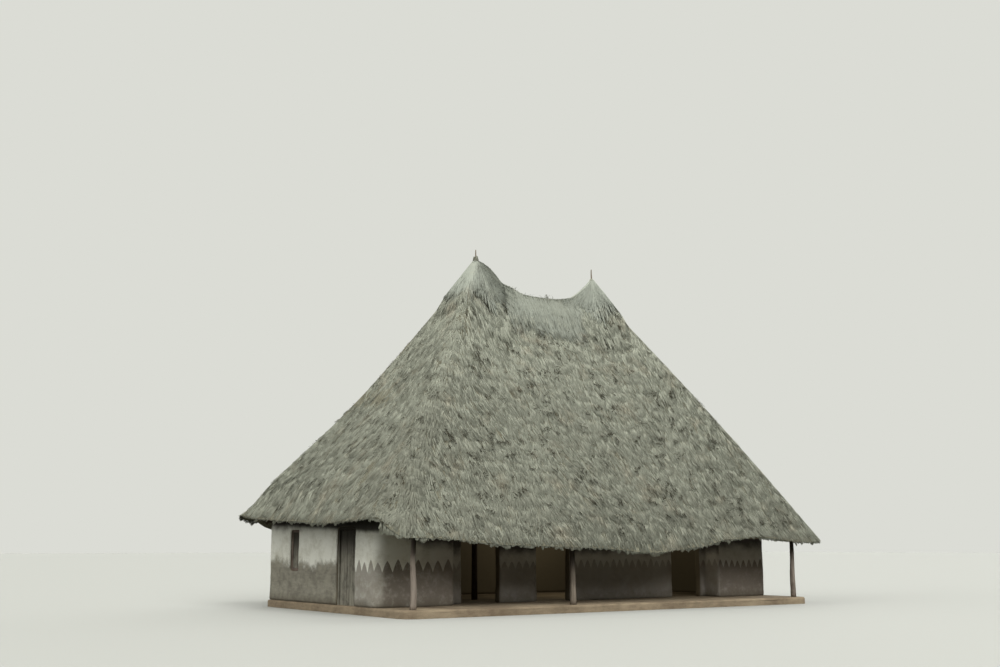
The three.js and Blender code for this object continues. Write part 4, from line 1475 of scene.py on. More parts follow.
@dataclass(frozen=True)
class CapThatch:
    """One of the two pointed caps: long fine grass drawn down from the tied tip to a ragged edge.

    The end is -1 for the left cap and 1 for the right one. The knot is the tuft at the tip: its width, how
    far it stands over the tip, its tone, its stalks and the turns of its cord. Steps are the points of a
    stalk, over is how far past the solid cap it may run, and crease is half the turn over which a crease is
    rounded off.
    """

    name: str
    end: int
    seed: int
    edge_z: float
    knot: float
    knot_top: float
    knot_tone: float
    tone: float = 0.50
    stalks: int = 1350
    steps: int = 7
    over: float = 0.35
    crease: float = 0.38
    tied: int = 150
    cords: int = 3

    def on_surface(self, d: Array, angle: Array) -> Array:
        """Finds points on the cap at distances and plan angles from its tip."""
        x, y = self.end * FORM.ridge_half + d * np.cos(angle), d * np.sin(angle)
        return rows(x, y, FORM.top(x, y))

    def reach(self, angle: Array, level: Array) -> Array:
        """Finds how far from the tip the cap comes down to a level.

        Args:
            angle: Plan angles.
            level: The level for each angle.

        Returns:
            The distances.
        """
        steps = np.linspace(0.05, FORM.cap_radius + self.over, 80)
        heights = self.on_surface(steps[None, :], angle[:, None])[..., 2]
        below = heights < level[:, None]
        return steps[np.where(below.any(axis=1), below.argmax(axis=1), len(steps) - 1)]

    def rounding(self, d: Array, angle: Array) -> Array:
        """Finds how far the grass stands over the solid beside its creases, which it rounds off.

        Args:
            d: Distances from the tip.
            angle: Plan angles.

        Returns:
            The heights.
        """
        turns = np.linspace(-2, 2, 17) * self.crease
        heights = self.on_surface(d[..., None], angle[..., None] + turns)[..., 2]
        crests = np.stack([heights[..., i : i + 9].max(axis=-1) for i in range(9)], axis=-1).mean(axis=-1)
        outer = share_of(np.cos(angle) * self.end, -0.5, 0.0)
        upper = np.clip(1.1 - (d / FORM.cap_radius) ** 2, 0, 1)
        return (crests - heights[..., 8]) * outer * upper

    def make(self, material: Material, dark: Material) -> None:
        """Builds the cap and the tuft at its tip.

        Args:
            material: The cap's straw.
            dark: The tuft's straw.
        """
        draw = np.random.default_rng(self.seed)
        count = self.stalks
        angle = draw.uniform(0, TURN, count)
        level = self.edge_z - 0.05 + drift(np.cos(angle) * 4, np.sin(angle) * 4, self.seed) * 0.25
        level += draw.normal(0, 0.09, count)
        part = np.where(draw.random(count) < 0.75, 1.0, draw.uniform(0.55, 1.0, count))
        stop = self.reach(angle, level) * part
        start = np.where(draw.random(count) < 0.4, 0.03, draw.uniform(0.05, 0.6, count))
        stop = np.maximum(stop, start + 0.15)
        shares = np.linspace(0, 1, self.steps)
        d = start[:, None] + (stop - start)[:, None] * shares
        turned = angle[:, None] + draw.normal(0, 0.05, count)[:, None] * shares
        spine = self.on_surface(d, turned)
        spine[..., 2] += self.rounding(d, turned)
        raised = 0.004 + draw.uniform(0.003, 0.010, count)[:, None] * shares
        spine += FORM.normals(spine[..., 0], spine[..., 1]) * raised[..., None]
        width = draw.uniform(0.014, 0.030, count)[:, None] * (0.4 + 0.6 * np.minimum(1, d / 0.3))
        reeds = ReedBundle()
        reeds.add(spine, width, draw.normal(self.tone, 0.04, count))
        Bench.deliver(reeds.make(self.name + "_straw"), material, "cap_thatch")
        self.tie_tuft(dark, draw)

    def tie_tuft(self, dark: Material, draw: np.random.Generator) -> None:
        """Adds the tied ends round the foot of the finial, and their cord.

        Args:
            dark: The straw.
            draw: The random generator.
        """
        count, tip = self.tied, FORM.cap_tip
        centre = self.end * FORM.ridge_half
        angle = draw.uniform(0, TURN, count)[:, None]
        shares = np.linspace(0, 1, 4)
        out = self.knot * draw.uniform(0.55, 0.85, count)[:, None] * (1 - 0.5 * shares)
        foot = tip - 1.3 * self.knot
        top = tip + self.knot_top * draw.uniform(0.1, 1.0, count)
        z = foot + (top - foot)[:, None] * shares
        reeds = ReedBundle()
        spine = rows(centre + out * np.cos(angle), out * np.sin(angle), z)
        reeds.add(spine, 0.014, draw.normal(self.knot_tone, 0.1, count))
        radius = self.knot * 0.45
        for i in range(self.cords):
            around = draw.uniform(0, 0.4) + np.linspace(0, TURN, 25)
            ring = rows(centre + radius * np.cos(around), radius * np.sin(around), tip - 0.06 + 0.018 * i)
            reeds.add(ring[None], 0.016, np.array([0.1]))
        Bench.deliver(reeds.make(self.name + "_tuft"), dark, "cap_thatch")


CAPS = (
    CapThatch("left_cap", -1, 21, edge_z=8.33, knot=0.16, knot_top=0.12, knot_tone=0.12),
    CapThatch("right_cap", 1, 22, edge_z=8.50, knot=0.10, knot_top=0.02, knot_tone=0.4),
)


@dataclass
class RidgeThatch:
    """The grass that is bent over the ridge between the caps.

    Reach is how far it comes down the slopes in plan, give or take uneven, and near is the least distance of
    a stalk's end from the ridge. Each loose wisp on top has its X, number of stalks and height.
    """

    half_long: float = 1.62
    reach: float = 0.76
    uneven: float = 0.30
    near: float = 0.28
    tone: float = 0.36
    stalks: int = 2000
    steps: int = 6
    seed: int = 71
    wisps: tuple[tuple[float, int, float], ...] = ((0.45, 26, 0.16), (-0.40, 20, 0.10), (-0.75, 16, 0.14))

    def make(self, material: Material) -> None:
        """Builds the piece.

        Args:
            material: The straw.
        """
        draw = np.random.default_rng(self.seed)
        count = self.stalks
        x = draw.uniform(-self.half_long, self.half_long, count)
        side = np.where(draw.random(count) < 0.5, -1, 1)
        shares = np.linspace(0, 1, self.steps)
        start = draw.uniform(-0.08, 0.3, count)
        patch, fine = (drift(x * scale, side * 3.0, self.seed) for scale in (2.4, 9.0))
        far = self.reach + self.uneven * (patch + 0.4 * fine) + 0.05 * x
        far -= 0.35 * share_of(np.abs(x), 1.2, self.half_long)
        stop = np.maximum(self.near + draw.random(count) ** 0.5 * (far - self.near), start + 0.22)
        out = start[:, None] + (stop - start)[:, None] * shares
        px = x[:, None] + draw.normal(0.02, 0.09, count)[:, None] * shares
        py = side[:, None] * out
        z = FORM.height(px, py) + FORM.packing(px, py) + 0.02 + 0.01 * draw.random(count)[:, None]
        z = z + FORM.saddle_deep * share_of(out, FORM.saddle_half + 0.12, FORM.saddle_half)
        width = draw.uniform(0.014, 0.030, count)[:, None]
        reeds = ReedBundle()
        reeds.add(rows(px, py, z), width, draw.normal(self.tone, 0.04, count))
        self.twigs(reeds, draw)
        Bench.deliver(reeds.make("ridge_straw"), material, "cap_thatch")

    def twigs(self, reeds: ReedBundle, draw: np.random.Generator) -> None:
        """Adds the loose wisps that stand up on the ridge.

        Args:
            reeds: Where they go.
            draw: The random generator.
        """
        shares = np.linspace(0, 1, 3)
        for centre, count, high in self.wisps:
            x = centre + draw.normal(0, 0.07, (count, 1))
            y = draw.normal(0, 0.05, (count, 1))
            base = FORM.height(x, y) + FORM.packing(x, y) + FORM.saddle_deep - 0.02
            lean = draw.normal(0.0, 0.12, (count, 2))
            tall = high * draw.uniform(0.4, 1.0, (count, 1))
            spine = rows(x + lean[:, :1] * shares**2, y + lean[:, 1:] * shares**2, base + tall * shares)
            reeds.add(spine, 0.009, draw.uniform(0.1, 0.5, count))


@dataclass
class MudWalls:
    """All the mud walls, softened and uneven as walls built by hand are.

    They stray a little over a metre or so, the wave, and over a hand's width, the ripple.
    """

    voxel: float = 0.054
    wave: float = 0.014
    ripple: float = 0.006
    toe: float = 0.012
    nodes: tuple[str, ...] = (
        "left_wall_back", "left_wall_front", "left_wall_over_door", "porch_wall_left", "porch_wall_middle",
        "porch_wall_right", "porch_wall_far_right", "wall_over_left_doorway", "wall_over_middle_doorway",
        "wall_over_right_doorway", "left_room_wall", "right_room_wall", "right_wall", "back_wall",
    )

    def make(self, material: Material) -> None:
        """Builds the piece.

        Args:
            material: The lime wash.
        """
        piece = Bench.copy_of("mud_walls", self.nodes)
        Bench.only(piece)
        piece.data.remesh_voxel_size = self.voxel
        piece.data.use_remesh_fix_poles = False
        bpy.ops.object.voxel_remesh()
        Bench.finish_with(piece, "SMOOTH", factor=0.5, iterations=3)
        piece.data.update()
        normals = np.array([v.normal for v in piece.data.vertices])
        points = Bench.points(piece)
        aside = Vector((7, 3, 1))
        broad = np.array([noise.noise(Vector(point) * 1.3) for point in points])
        fine = np.array([noise.noise(Vector(point) * 6.0 + aside) for point in points])
        shift = broad * self.wave + fine * self.ripple + self.toe * share_of(points[:, 2], 0.5, 0.1)
        Bench.set_points(piece, points + normals * shift[:, None])
        Bench.only(piece)
        bpy.ops.object.shade_smooth()
        Bench.deliver(piece, material, "whitewash", self.nodes)


@dataclass
class Poles:
    """Joined round poles, copied from one master and each bent its own way.

    The slot is the record's, and parts are the points, faces and map of the poles that were added.
    """

    name: str
    slot: str
    seed: int
    parts: list[tuple[Array, Array, Array]] = field(default_factory=list)

    @staticmethod
    @cache
    def master(sides: int = 12, rings: int = 14) -> tuple[Array, Array, Array]:
        """Models the pole that all poles are copied from.

        Args:
            sides: How many sides it has.
            rings: How many rings of points it has between its ends.

        Returns:
            Its points, a metre long and of radius 1, its faces, and its map.
        """
        bpy.ops.mesh.primitive_cylinder_add(
            vertices=sides, radius=1, depth=1, location=(0, 0, 0.5), end_fill_type="TRIFAN"
        )
        piece = Bench.settle(bpy.context.active_object)
        shape = Bench.opened(piece)
        Bench.pick(piece, shape, [abs(e.verts[0].co.z - e.verts[1].co.z) > 0.5 for e in shape.edges])
        bpy.ops.mesh.subdivide(number_cuts=rings)
        bpy.ops.mesh.select_all(action="SELECT")
        bpy.ops.mesh.quads_convert_to_tris()
        bpy.ops.object.mode_set(mode="OBJECT")
        points = Bench.points(piece)
        faces = np.array([list(p.vertices) for p in piece.data.polygons])
        bpy.data.objects.remove(piece)
        return points, faces, rows(np.arctan2(points[:, 1], points[:, 0]) / TURN + 0.5, points[:, 2])

    def lay(self, start: Vector, end: Vector, radius: float, head: float, bend: float = 0.012) -> None:
        """Adds a pole.

        Args:
            start: Where it starts.
            end: Where it ends.
            radius: Its radius at the start.
            head: Its radius at the end.
            bend: How far it strays from a straight line.
        """
        count = len(self.parts)
        draw = np.random.default_rng(self.seed + 13 * count)
        points, faces, lay = self.master()
        share = points[:, 2]
        length = (end - start).length
        ring = 1 + 0.05 * np.sin(share * length * 7 + draw.uniform(0, 6))
        angle = np.arctan2(points[:, 1], points[:, 0])
        knots = 0.05 * np.sin(3 * angle + share * length * 3 + draw.uniform(0, 6))
        size = (radius + (head - radius) * share) * np.minimum(1, ring + knots)
        local = points[:, :2] * size[:, None]
        for axis, waves in ((0, 5), (1, 4)):
            local[:, axis] += bend * np.sin(math.pi * share) * np.sin(share * waves + draw.uniform(0, 6))
        turn = (end - start).to_track_quat("Z", "Y").to_matrix()
        placed = np.column_stack([local, share * length]) @ np.array(turn).T + np.array(start)
        own_map = lay * np.array([TURN * radius, length]) + draw.uniform(0, 50, 2)
        self.parts.append((placed, faces + count * len(points), own_map))

    def make(self, material: Material, nodes: tuple[str, ...] = ()) -> None:
        """Builds the piece.

        Args:
            material: The wood.
            nodes: The solids that it stands for.
        """
        piece = Bench.mesh_of(self.name, *(np.concatenate(part) for part in zip(*self.parts)))
        Bench.only(piece)
        bpy.ops.object.shade_smooth()
        Bench.deliver(piece, material, self.slot, nodes)


def hewn(name: str, low: Vector, high: Vector, grain: Axis, seed: int, wobble: float = 0.002) -> Piece:
    """Models a hewn timber or board.

    Args:
        name: Its name.
        low: Its lowest corner.
        high: Its highest corner.
        grain: The direction of its grain.
        seed: Seed of its unevenness.
        wobble: How uneven it is.

    Returns:
        The object, with its own map.
    """
    bpy.ops.mesh.primitive_cube_add(size=1, location=(low + high) / 2)
    piece = bpy.context.active_object
    piece.name = name
    size = high - low
    piece.scale = size
    Bench.settle(piece)
    long = size[grain.value]
    shape = Bench.opened(piece)
    runs = [abs((e.verts[0].co - e.verts[1].co)[grain.value]) for e in shape.edges]
    Bench.pick(piece, shape, [run > 0.9 * long for run in runs])
    bpy.ops.mesh.subdivide(number_cuts=max(2, int(long / 0.12)))
    bpy.ops.object.mode_set(mode="OBJECT")
    Bench.finish_with(piece, "BEVEL", width=min(0.006, min(size) * 0.2), segments=2, limit_method="ANGLE")
    points = Bench.points(piece)
    draw = Vector(np.random.default_rng(seed).uniform(0, 50, 3))
    moved = np.array([noise.noise_vector(Vector(p) * 4 + draw) for p in points]) * wobble
    moved[:, grain.value] = 0
    Bench.set_points(piece, points + moved)
    across = [axis.value for axis in Axis if axis is not grain]
    lay = rows(points[:, across].sum(axis=1) + draw.x, points[:, grain.value] + draw.y)
    uv = piece.data.uv_layers[0]
    uv.name = UV_NAME
    corners = np.empty(len(piece.data.loops), dtype=int)
    piece.data.loops.foreach_get("vertex_index", corners)
    uv.data.foreach_set("uv", lay[corners].astype(np.float32).ravel())
    return piece


def joined(name: str, pieces: list[Piece]) -> Piece:
    """Joins objects into one.

    Args:
        name: The new object's name.
        pieces: The objects.

    Returns:
        The joined object.
    """
    Bench.only(pieces[0])
    for piece in pieces:
        piece.select_set(True)
    bpy.ops.object.join()
    pieces[0].name = name
    return pieces[0]


@dataclass
class DoorAndWindow:
    """The plank door that turns inwards, its frame, and the small shuttered window.

    The stile is the round upright on the hinge's axis, and the battens are given by the heights of their
    undersides.
    """

    boards: int = 5
    gap: float = 0.005
    side_gap: float = 0.02
    half: float = 0.018
    battens: tuple[float, float] = (0.55, 1.6)
    batten_deep: float = 0.022
    batten_high: float = 0.11
    stile: float = 0.025
    clear_of_axis: float = 0.085
    shutter_boards: int = 3

    def make_leaf(self, material: Material) -> None:
        """Builds the door's leaf of upright boards on two battens.

        Args:
            material: The boards' wood.
        """
        low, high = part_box("end_door")
        middle = (low.x + high.x) / 2
        face, axis = middle + self.half, high.y - self.stile
        width = (high.y - low.y - self.side_gap) / self.boards
        pieces = []
        for i in range(self.boards):
            draw = np.random.default_rng(300 + i)
            y = low.y + i * width + self.gap / 2
            start = Vector((middle - self.half + draw.uniform(0, 0.006), y, low.z))
            stop = Vector((face, y + width - self.gap, high.z - draw.uniform(0, 0.012)))
            pieces.append(hewn("board", start, stop, Axis.Z, 310 + i))
        for z in self.battens:
            start = Vector((face, low.y + 0.04, z))
            stop = Vector((face + self.batten_deep, axis - self.clear_of_axis, z + self.batten_high))
            pieces.append(hewn("batten", start, stop, Axis.Y, 330 + int(z * 10)))
        bpy.ops.mesh.primitive_cylinder_add(
            vertices=20,
            radius=self.stile,
            depth=high.z - low.z,
            location=(middle, axis, (low.z + high.z) / 2),
        )
        stile = Bench.settle(bpy.context.active_object)
        stile.data.uv_layers[0].name = UV_NAME
        Bench.finish_with(stile, "BEVEL", width=0.004, segments=2, limit_method="ANGLE")
        Bench.deliver(joined("door_leaf", [*pieces, stile]), material, "planks", ("end_door",), DOOR)

    @staticmethod
    def make_frame(name: str, node: str, sill: bool, material: Material, wide: float = 0.065) -> None:
        """Builds a frame of hewn timbers.

        Args:
            name: Its name.
            node: The solid that it stands for.
            sill: Whether it has a sill.
            material: The wood.
            wide: The width of its timbers.
        """
        low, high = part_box(node)
        foot, head = low.z + (wide if sill else 0), high.z - wide
        parts = [
            ("jamb", low, Vector((high.x, low.y + wide, head)), Axis.Z),
            ("jamb", Vector((low.x, high.y - wide, foot)), Vector((high.x, high.y, head)), Axis.Z),
            ("head", Vector((low.x, low.y, head)), high, Axis.Y),
            ("sill", Vector((low.x, low.y + wide, low.z)), Vector((high.x, high.y, foot)), Axis.Y),
        ]
        timbers = [hewn(*part, 401 + i, 0.003) for i, part in enumerate(parts[: 4 if sill else 3])]
        Bench.deliver(joined(name, timbers), material, "timber", (node,))

    def make_shutter(self, material: Material) -> None:
        """Builds the window's shutter.

        Args:
            material: The boards' wood.
        """
        low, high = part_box("window_shutter")
        width = (high.y - low.y) / self.shutter_boards
        pieces = []
        for i in range(self.shutter_boards):
            start = Vector((low.x, low.y + i * width + 0.002, low.z))
            stop = Vector((high.x - 0.004, low.y + (i + 1) * width - 0.002, high.z))
            pieces.append(hewn("board", start, stop, Axis.Z, 420 + i))
        Bench.deliver(joined("window_boards", pieces), material, "planks", ("window_shutter",))


@dataclass
class RoofPoles:
    """The pole lattices under the thatch, laid where the solids have them.

    Radii, then depths of the poles' lines under the thatch, square to the slope, then shares of the way
    from ridge to eave. The shares of a face are its number of rafters and the outermost one's place. The
    tops are where the rafters of a long face, of an end and of a hip start, and shy is how far a hip's
    poles stop short of its end.
    """

    rafter: float = 0.045
    purlin: float = 0.03
    batten: float = 0.014
    rafter_depth: float = 0.0803
    purlin_depth: float = 0.0303
    hip_sink: float = 0.026
    purlin_at: tuple[float, ...] = (0.15, 0.3, 0.45, 0.6, 0.75, 0.88)
    batten_pitch: float = 0.055
    long_shares: tuple[int, float] = (10, 0.975)
    end_shares: tuple[int, float] = (5, 0.85)
    foot: float = 0.89
    tops: tuple[float, float, float] = (0.012, 0.1, 0.28)
    hip_from: float = 0.25
    shy: float = 0.13

    @staticmethod
    def point(face: Face, t: float, s: float, depth: float, turn: float = 0.0) -> Vector:
        """Finds a point on a pole's line.

        Args:
            face: The face.
            t: Share of the way from ridge to eave.
            s: Share of the flat part's half width.
            depth: Depth under the thatch, square to the slope.
            turn: Share of the hip's turn, from 0 to 1.

        Returns:
            The point.
        """
        if face.is_long:
            nominal = FORM.long_nominal[face.way > 0]
            reach = FORM.eave_y - FORM.slot
            x = s * (FORM.ridge_half + t * FORM.run[0])
            y = face.way * (FORM.slot + t * reach)
        else:
            angle = turn * QUARTER
            side = 1 if s > 0 else -1
            across = FORM.end_nominal[face.way > 0]
            nominal = across + turn * (FORM.long_nominal[side > 0] - across)
            grow = FORM.eave_r - FORM.slot
            reach = FORM.run[0] * math.cos(angle) + FORM.run[1] * math.sin(angle) + grow
            radius = FORM.slot + t * grow
            x = face.way * (FORM.ridge_half + t * FORM.run[0] + radius * math.cos(angle))
            y = s * t * FORM.run[1] + side * radius * math.sin(angle)
        slope = (FORM.ridge_z - nominal) / reach
        z = FORM.ridge_z + t * (nominal - FORM.ridge_z) - FORM.deep - depth * math.hypot(1, slope)
        return Vector((x, y, z))

    def levels(self) -> list[tuple[float, float, float]]:
        """Lists the poles that run across a slope.

        Returns:
            For each its share of the slope, its radius and its depth.
        """
        found = [(t, self.purlin, self.purlin_depth) for t in self.purlin_at]
        for t in np.arange(self.batten_pitch, self.purlin_at[-1], self.batten_pitch):
            if min(abs(t - row) for row in self.purlin_at) > 0.02:
                found.append((t, self.batten, self.batten))
        return found

    def make_face(self, face: Face, material: Material, seed: int) -> None:
        """Builds one face's lattice.

        Args:
            face: The face.
            material: The wood.
            seed: Seed of its random draws.
        """
        name = face.name.lower()
        poles = Poles(f"{name}_poles", "roof_poles", seed)
        count, reach = self.long_shares if face.is_long else self.end_shares
        start = self.tops[0] if face.is_long else self.tops[1]
        wide = self.long_shares[1] if face.is_long else 1.0
        for s in np.linspace(-reach, reach, count):
            ends = [self.point(face, t, s, self.rafter_depth) for t in (self.foot, start)]
            poles.lay(*ends, self.rafter, self.rafter * 0.7)
        for t, radius, depth in self.levels():
            ends = [self.point(face, t, s, depth) for s in (-wide, wide)]
            poles.lay(*ends, radius, radius * 0.85, 0.008)
        for side in () if face.is_long else (-1, 1):
            self.lay_hip(poles, face, side)
        poles.make(material, (f"{name}_rafters",))

    def lay_hip(self, poles: Poles, face: Face, side: int) -> None:
        """Adds a hip's rafter and the poles that run round the hip.

        Args:
            poles: Where they go.
            face: The end that the hip belongs to.
            side: -1 for its front hip and 1 for its back one.
        """
        hip = [self.point(face, t, side, self.rafter_depth, 0.5) for t in (self.foot, self.tops[2])]
        poles.lay(*hip, self.rafter, self.rafter * 0.7)
        for t, radius, depth in self.levels():
            if t > self.hip_from:
                stop = max(0.55, 1 - self.shy / FORM.corner_arc(t))
                line = [self.point(face, t, side, depth + self.hip_sink, turn) for turn in (0.0, 0.5, stop)]
                for ends in (line[:2], line[1:]):
                    poles.lay(*ends, radius, radius, 0.0)


@dataclass
class Frame:
    """Posts, beam, plates, lintels and the two centre posts.

    The pairs are the radii of a centre post at its foot and neck, and of a finial at its foot and tip.
    """

    posts: tuple[str, ...] = ("veranda_post_left", "veranda_post_middle", "veranda_post_right")
    swollen: float = 0.009
    plates: tuple[str, ...] = ("left_wall_plate", "right_wall_plate", "back_wall_plate", "porch_wall_plate")
    centre_posts: tuple[str, ...] = ("left_centre_post", "right_centre_post")
    centre: tuple[float, float] = (0.084, 0.038)
    neck: float = 9.28
    finial: tuple[float, float] = (0.03, 0.014)
    lintels: tuple[str, ...] = ("left_lintel", "middle_lintel", "right_lintel")

    def make(self, wood: Material, pale: Material, shaded: Material, sooty: Material) -> None:
        """Builds the pieces.

        Args:
            wood: Wood of the beam, plates and lintels.
            pale: Wood of the outer porch posts.
            shaded: Wood of the middle one, under the lowest part of the eave.
            sooty: Wood of the roof.
        """
        for i, node in enumerate(self.posts):
            low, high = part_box(node)
            x, y = (low.x + high.x) / 2, (low.y + high.y) / 2
            radius = (high.x - low.x) / 2 + self.swollen
            poles = Poles(node + "_pole", "timber", 500 + 7 * i)
            poles.lay(Vector((x, y, low.z)), Vector((x, y, high.z)), radius, radius * 0.66, 0.016)
            # The middle post takes the darker shaded_wood: painted shade of the lowest part of the eave.
            poles.make(shaded if i == 1 else pale, (node,))
        self.log("veranda_beam", wood, 540)
        for i, node in enumerate(self.plates):
            self.log(node, wood, 550 + 9 * i)
        self.log("ridge_pole", sooty, 590)
        for i, node in enumerate(self.centre_posts):
            low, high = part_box(node)
            x = (low.x + high.x) / 2
            poles = Poles(node + "_pole", "roof_poles", 600 + 5 * i)
            poles.lay(Vector((x, 0, low.z)), Vector((x, 0, self.neck)), *self.centre, 0.0)
            poles.make(sooty, (node,))
            finial = Poles(node.replace("centre_post", "finial"), "roof_poles", 610 + 5 * i)
            finial.lay(Vector((x, 0, self.neck - 0.05)), Vector((x, 0, high.z)), *self.finial, 0.006)
            finial.make(wood)
        for i, node in enumerate(self.lintels):
            board = hewn(node + "_board", *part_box(node), Axis.X, 620 + i, 0.004)
            Bench.deliver(board, wood, "timber", (node,))

    @staticmethod
    def log(node: str, material: Material, seed: int) -> None:
        """Builds a lying log.

        Args:
            node: The solid that it stands for.
            material: The wood.
            seed: Seed of its unevenness.
        """
        low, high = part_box(node)
        middle, size = (low + high) / 2, high - low
        axis = 0 if size.x > size.y else 1
        start, end = middle.copy(), middle.copy()
        start[axis], end[axis] = low[axis], high[axis]
        poles = Poles(node + "_log", "roof_poles" if node == "ridge_pole" else "timber", seed)
        radius = size.z / 2
        poles.lay(start, end, radius, radius * 0.93, 0.0)
        poles.make(material, (node,))


@dataclass
class Platform:
    """The low platform of beaten earth, with a worn, uneven rim.

    Its long edges are cut into steps, whose points stray inwards.
    """

    node: str = "earth_floor"
    rim: float = 0.05
    step: float = 0.35
    uneven: float = 0.025

    def make(self, material: Material) -> None:
        """Builds the piece.

        Args:
            material: The beaten earth.
        """
        piece = Bench.copy_of("earth_platform", (self.node,))
        low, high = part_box(self.node)
        Bench.opened(piece)
        bpy.ops.mesh.select_all(action="SELECT")
        bpy.ops.mesh.dissolve_limited(angle_limit=math.radians(1))
        shape = bmesh.from_edit_mesh(piece.data)
        level = [e for e in shape.edges if abs(e.verts[0].co.z - e.verts[1].co.z) < 0.01]
        for edge in [e for e in level if e.calc_length() > self.step]:
            bmesh.ops.subdivide_edges(shape, edges=[edge], cuts=int(edge.calc_length() / self.step))
        bmesh.update_edit_mesh(piece.data)
        Bench.pick(piece, shape, [self.on_rim(edge, high.z) for edge in shape.edges])
        bpy.ops.mesh.bevel(offset=self.rim, segments=3, profile=0.55)
        bpy.ops.object.mode_set(mode="OBJECT")
        points = Bench.points(piece)
        push = [noise.noise(Vector((x, y, 0)) * 1.7) for x, y, _ in points]
        push = (np.array(push)[:, None] - 0.5) * self.uneven
        middle, half = (low.y + high.y) / 2, (high.y - low.y) / 2
        points[:, :2] += rows(points[:, 0] / high.x, (points[:, 1] - middle) / half) * push
        Bench.set_points(piece, points)
        Bench.only(piece)
        bpy.ops.object.shade_smooth_by_angle(angle=math.radians(40))
        Bench.deliver(piece, material, "rammed_earth", (self.node,))

    @staticmethod
    def on_rim(edge: bmesh.types.BMEdge, top: float) -> bool:
        """Tells whether an edge lies between the platform's top and a side."""
        high = all(v.co.z > top - 0.01 for v in edge.verts)
        return high and len(edge.link_faces) == 2 and any(abs(f.normal.z) < 0.5 for f in edge.link_faces)


@dataclass
class Studio:
    """The floor, the light and the camera at the photograph's place.

    The camera is turned from +Y towards +X by its yaw, and looks up by its pitch. The floor has one colour
    for the camera and a darker one for the light that it throws back. The dome is the sky's strength at the
    horizon and high up. Each sun has its name, the way to it, its strength, and its width in degrees.
    """

    camera_at: Colour = (-20.196, -26.727, 1.547)
    yaw: float = 35.32
    pitch: float = 10.20
    lens: float = 42.77
    sensor: float = 36.0
    floor_size: float = 600.0
    floor_colour: Colour = linear(184, 185, 179)
    bounce: Colour = linear(78, 78, 70)
    sky: Colour = linear(219, 220, 213)
    dome: tuple[float, float] = (0.10, 0.9)
    fill_at: Colour = (2.0, 0.7, 3.0)
    fill_power: float = 74.0
    fill_colour: Colour = (1.0, 0.93, 0.76)
    suns: tuple[tuple[str, Colour, float, float], ...] = (
        ("left_light", (-0.9, 0.15, 0.36), 1.3, 55),
        ("front_light", (-0.15, -0.74, 0.66), 2.9, 46),
        ("back_light", (0.75, 0.4, 0.5), 1.0, 60),
    )

    @staticmethod
    def aim(piece: Piece, way: Vector, axis: str) -> None:
        """Turns an object so that its axis, Z or -Z, points a way."""
        piece.rotation_mode = "QUATERNION"
        piece.rotation_quaternion = way.to_track_quat(axis, "Y")

    def make_camera(self) -> None:
        """Sets the camera."""
        data = bpy.data.cameras.new("camera")
        data.lens, data.sensor_width, data.clip_end = self.lens, self.sensor, 500.0
        camera = Bench.add_object("camera", data)
        camera.location = self.camera_at
        yaw, pitch = math.radians(self.yaw), math.radians(self.pitch)
        flat = math.cos(pitch)
        self.aim(camera, Vector((math.sin(yaw) * flat, math.cos(yaw) * flat, math.sin(pitch))), "-Z")
        bpy.context.scene.camera = camera

    def make_floor(self) -> None:
        """Lays the pale floor, which throws little light back up under the eaves, as planted ground does."""
        bpy.ops.mesh.primitive_plane_add(size=self.floor_size, location=(0, 0, -0.002))
        floor = Bench.settle(bpy.context.active_object)
        floor.name = "studio_floor"
        finish = Finish("studio_floor", 0.9)
        seen = finish.canvas.node("LightPath").outputs["Is Camera Ray"]
        finish.colour(finish.canvas.mix(seen, self.bounce, self.floor_colour))
        floor.data.materials.append(finish.material)

    def make_light(self) -> None:
        """Sets an even pale sky, soft lights from three sides, and a lamp in the rooms."""
        scene = bpy.context.scene
        scene.view_settings.view_transform = "Standard"
        world = bpy.data.worlds.new("sky")
        world.use_nodes = True
        scene.world = world
        c = Canvas(world.node_tree)
        back = world.node_tree.nodes["Background"].inputs
        high = c.split(c.node("TexCoord").outputs["Generated"])[2]
        dome = c.ramp(high, 0.0, 0.9, *self.dome)
        seen = c.node("LightPath").outputs["Is Camera Ray"]
        c.feed(back["Color"], self.sky)
        c.feed(back["Strength"], c.add(c.times(dome, c.less(1.0, seen)), seen))
        fill = bpy.data.lights.new("room_fill", "POINT")
        fill.energy, fill.color, fill.shadow_soft_size = self.fill_power, self.fill_colour, 0.8
        inside = Bench.add_object("room_fill", fill)
        inside.location = self.fill_at
        inside.visible_camera = False
        for name, way, power, spread in self.suns:
            data = bpy.data.lights.new(name, "SUN")
            data.energy, data.angle = power, math.radians(spread)
            self.aim(Bench.add_object(name, data), Vector(way), "Z")


@dataclass
class PackedThatch:
    """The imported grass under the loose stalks.

    The kept solids keep their own mesh, and the raised ones get a copy with its upper side packed up. Skin is
    how far under the surface a point may lie and still be raised, as a share of the thickness.
    """

    kept: tuple[str, ...] = ("front_thatch", "right_thatch", "ridge_thatch", "left_cap", "right_cap")
    raised: tuple[str, ...] = ("left_thatch", "back_thatch")
    skin: float = 0.3

    def make(self, material: Material, cap: Material) -> None:
        """Builds the copies and gives all of it its finish.

        Args:
            material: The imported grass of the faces.
            cap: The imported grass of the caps.
        """
        for node in self.kept:
            piece = frame["nodes"][node]
            piece.data.materials.clear()
            piece.data.materials.append(cap if node.endswith("cap") else material)
        for node in self.raised:
            piece = Bench.copy_of(node.replace("thatch", "bed"), (node,))
            points = Bench.points(piece)
            x, y, z = points.T
            t, surface = FORM.locate(x, y)
            lift = FORM.swelling(x, y, t)
            points[:, 2] += np.where(z > surface - lift - FORM.deep * self.skin, lift, 0.0)
            Bench.set_points(piece, points)
            Bench.deliver(piece, material, "thatch", (node,))


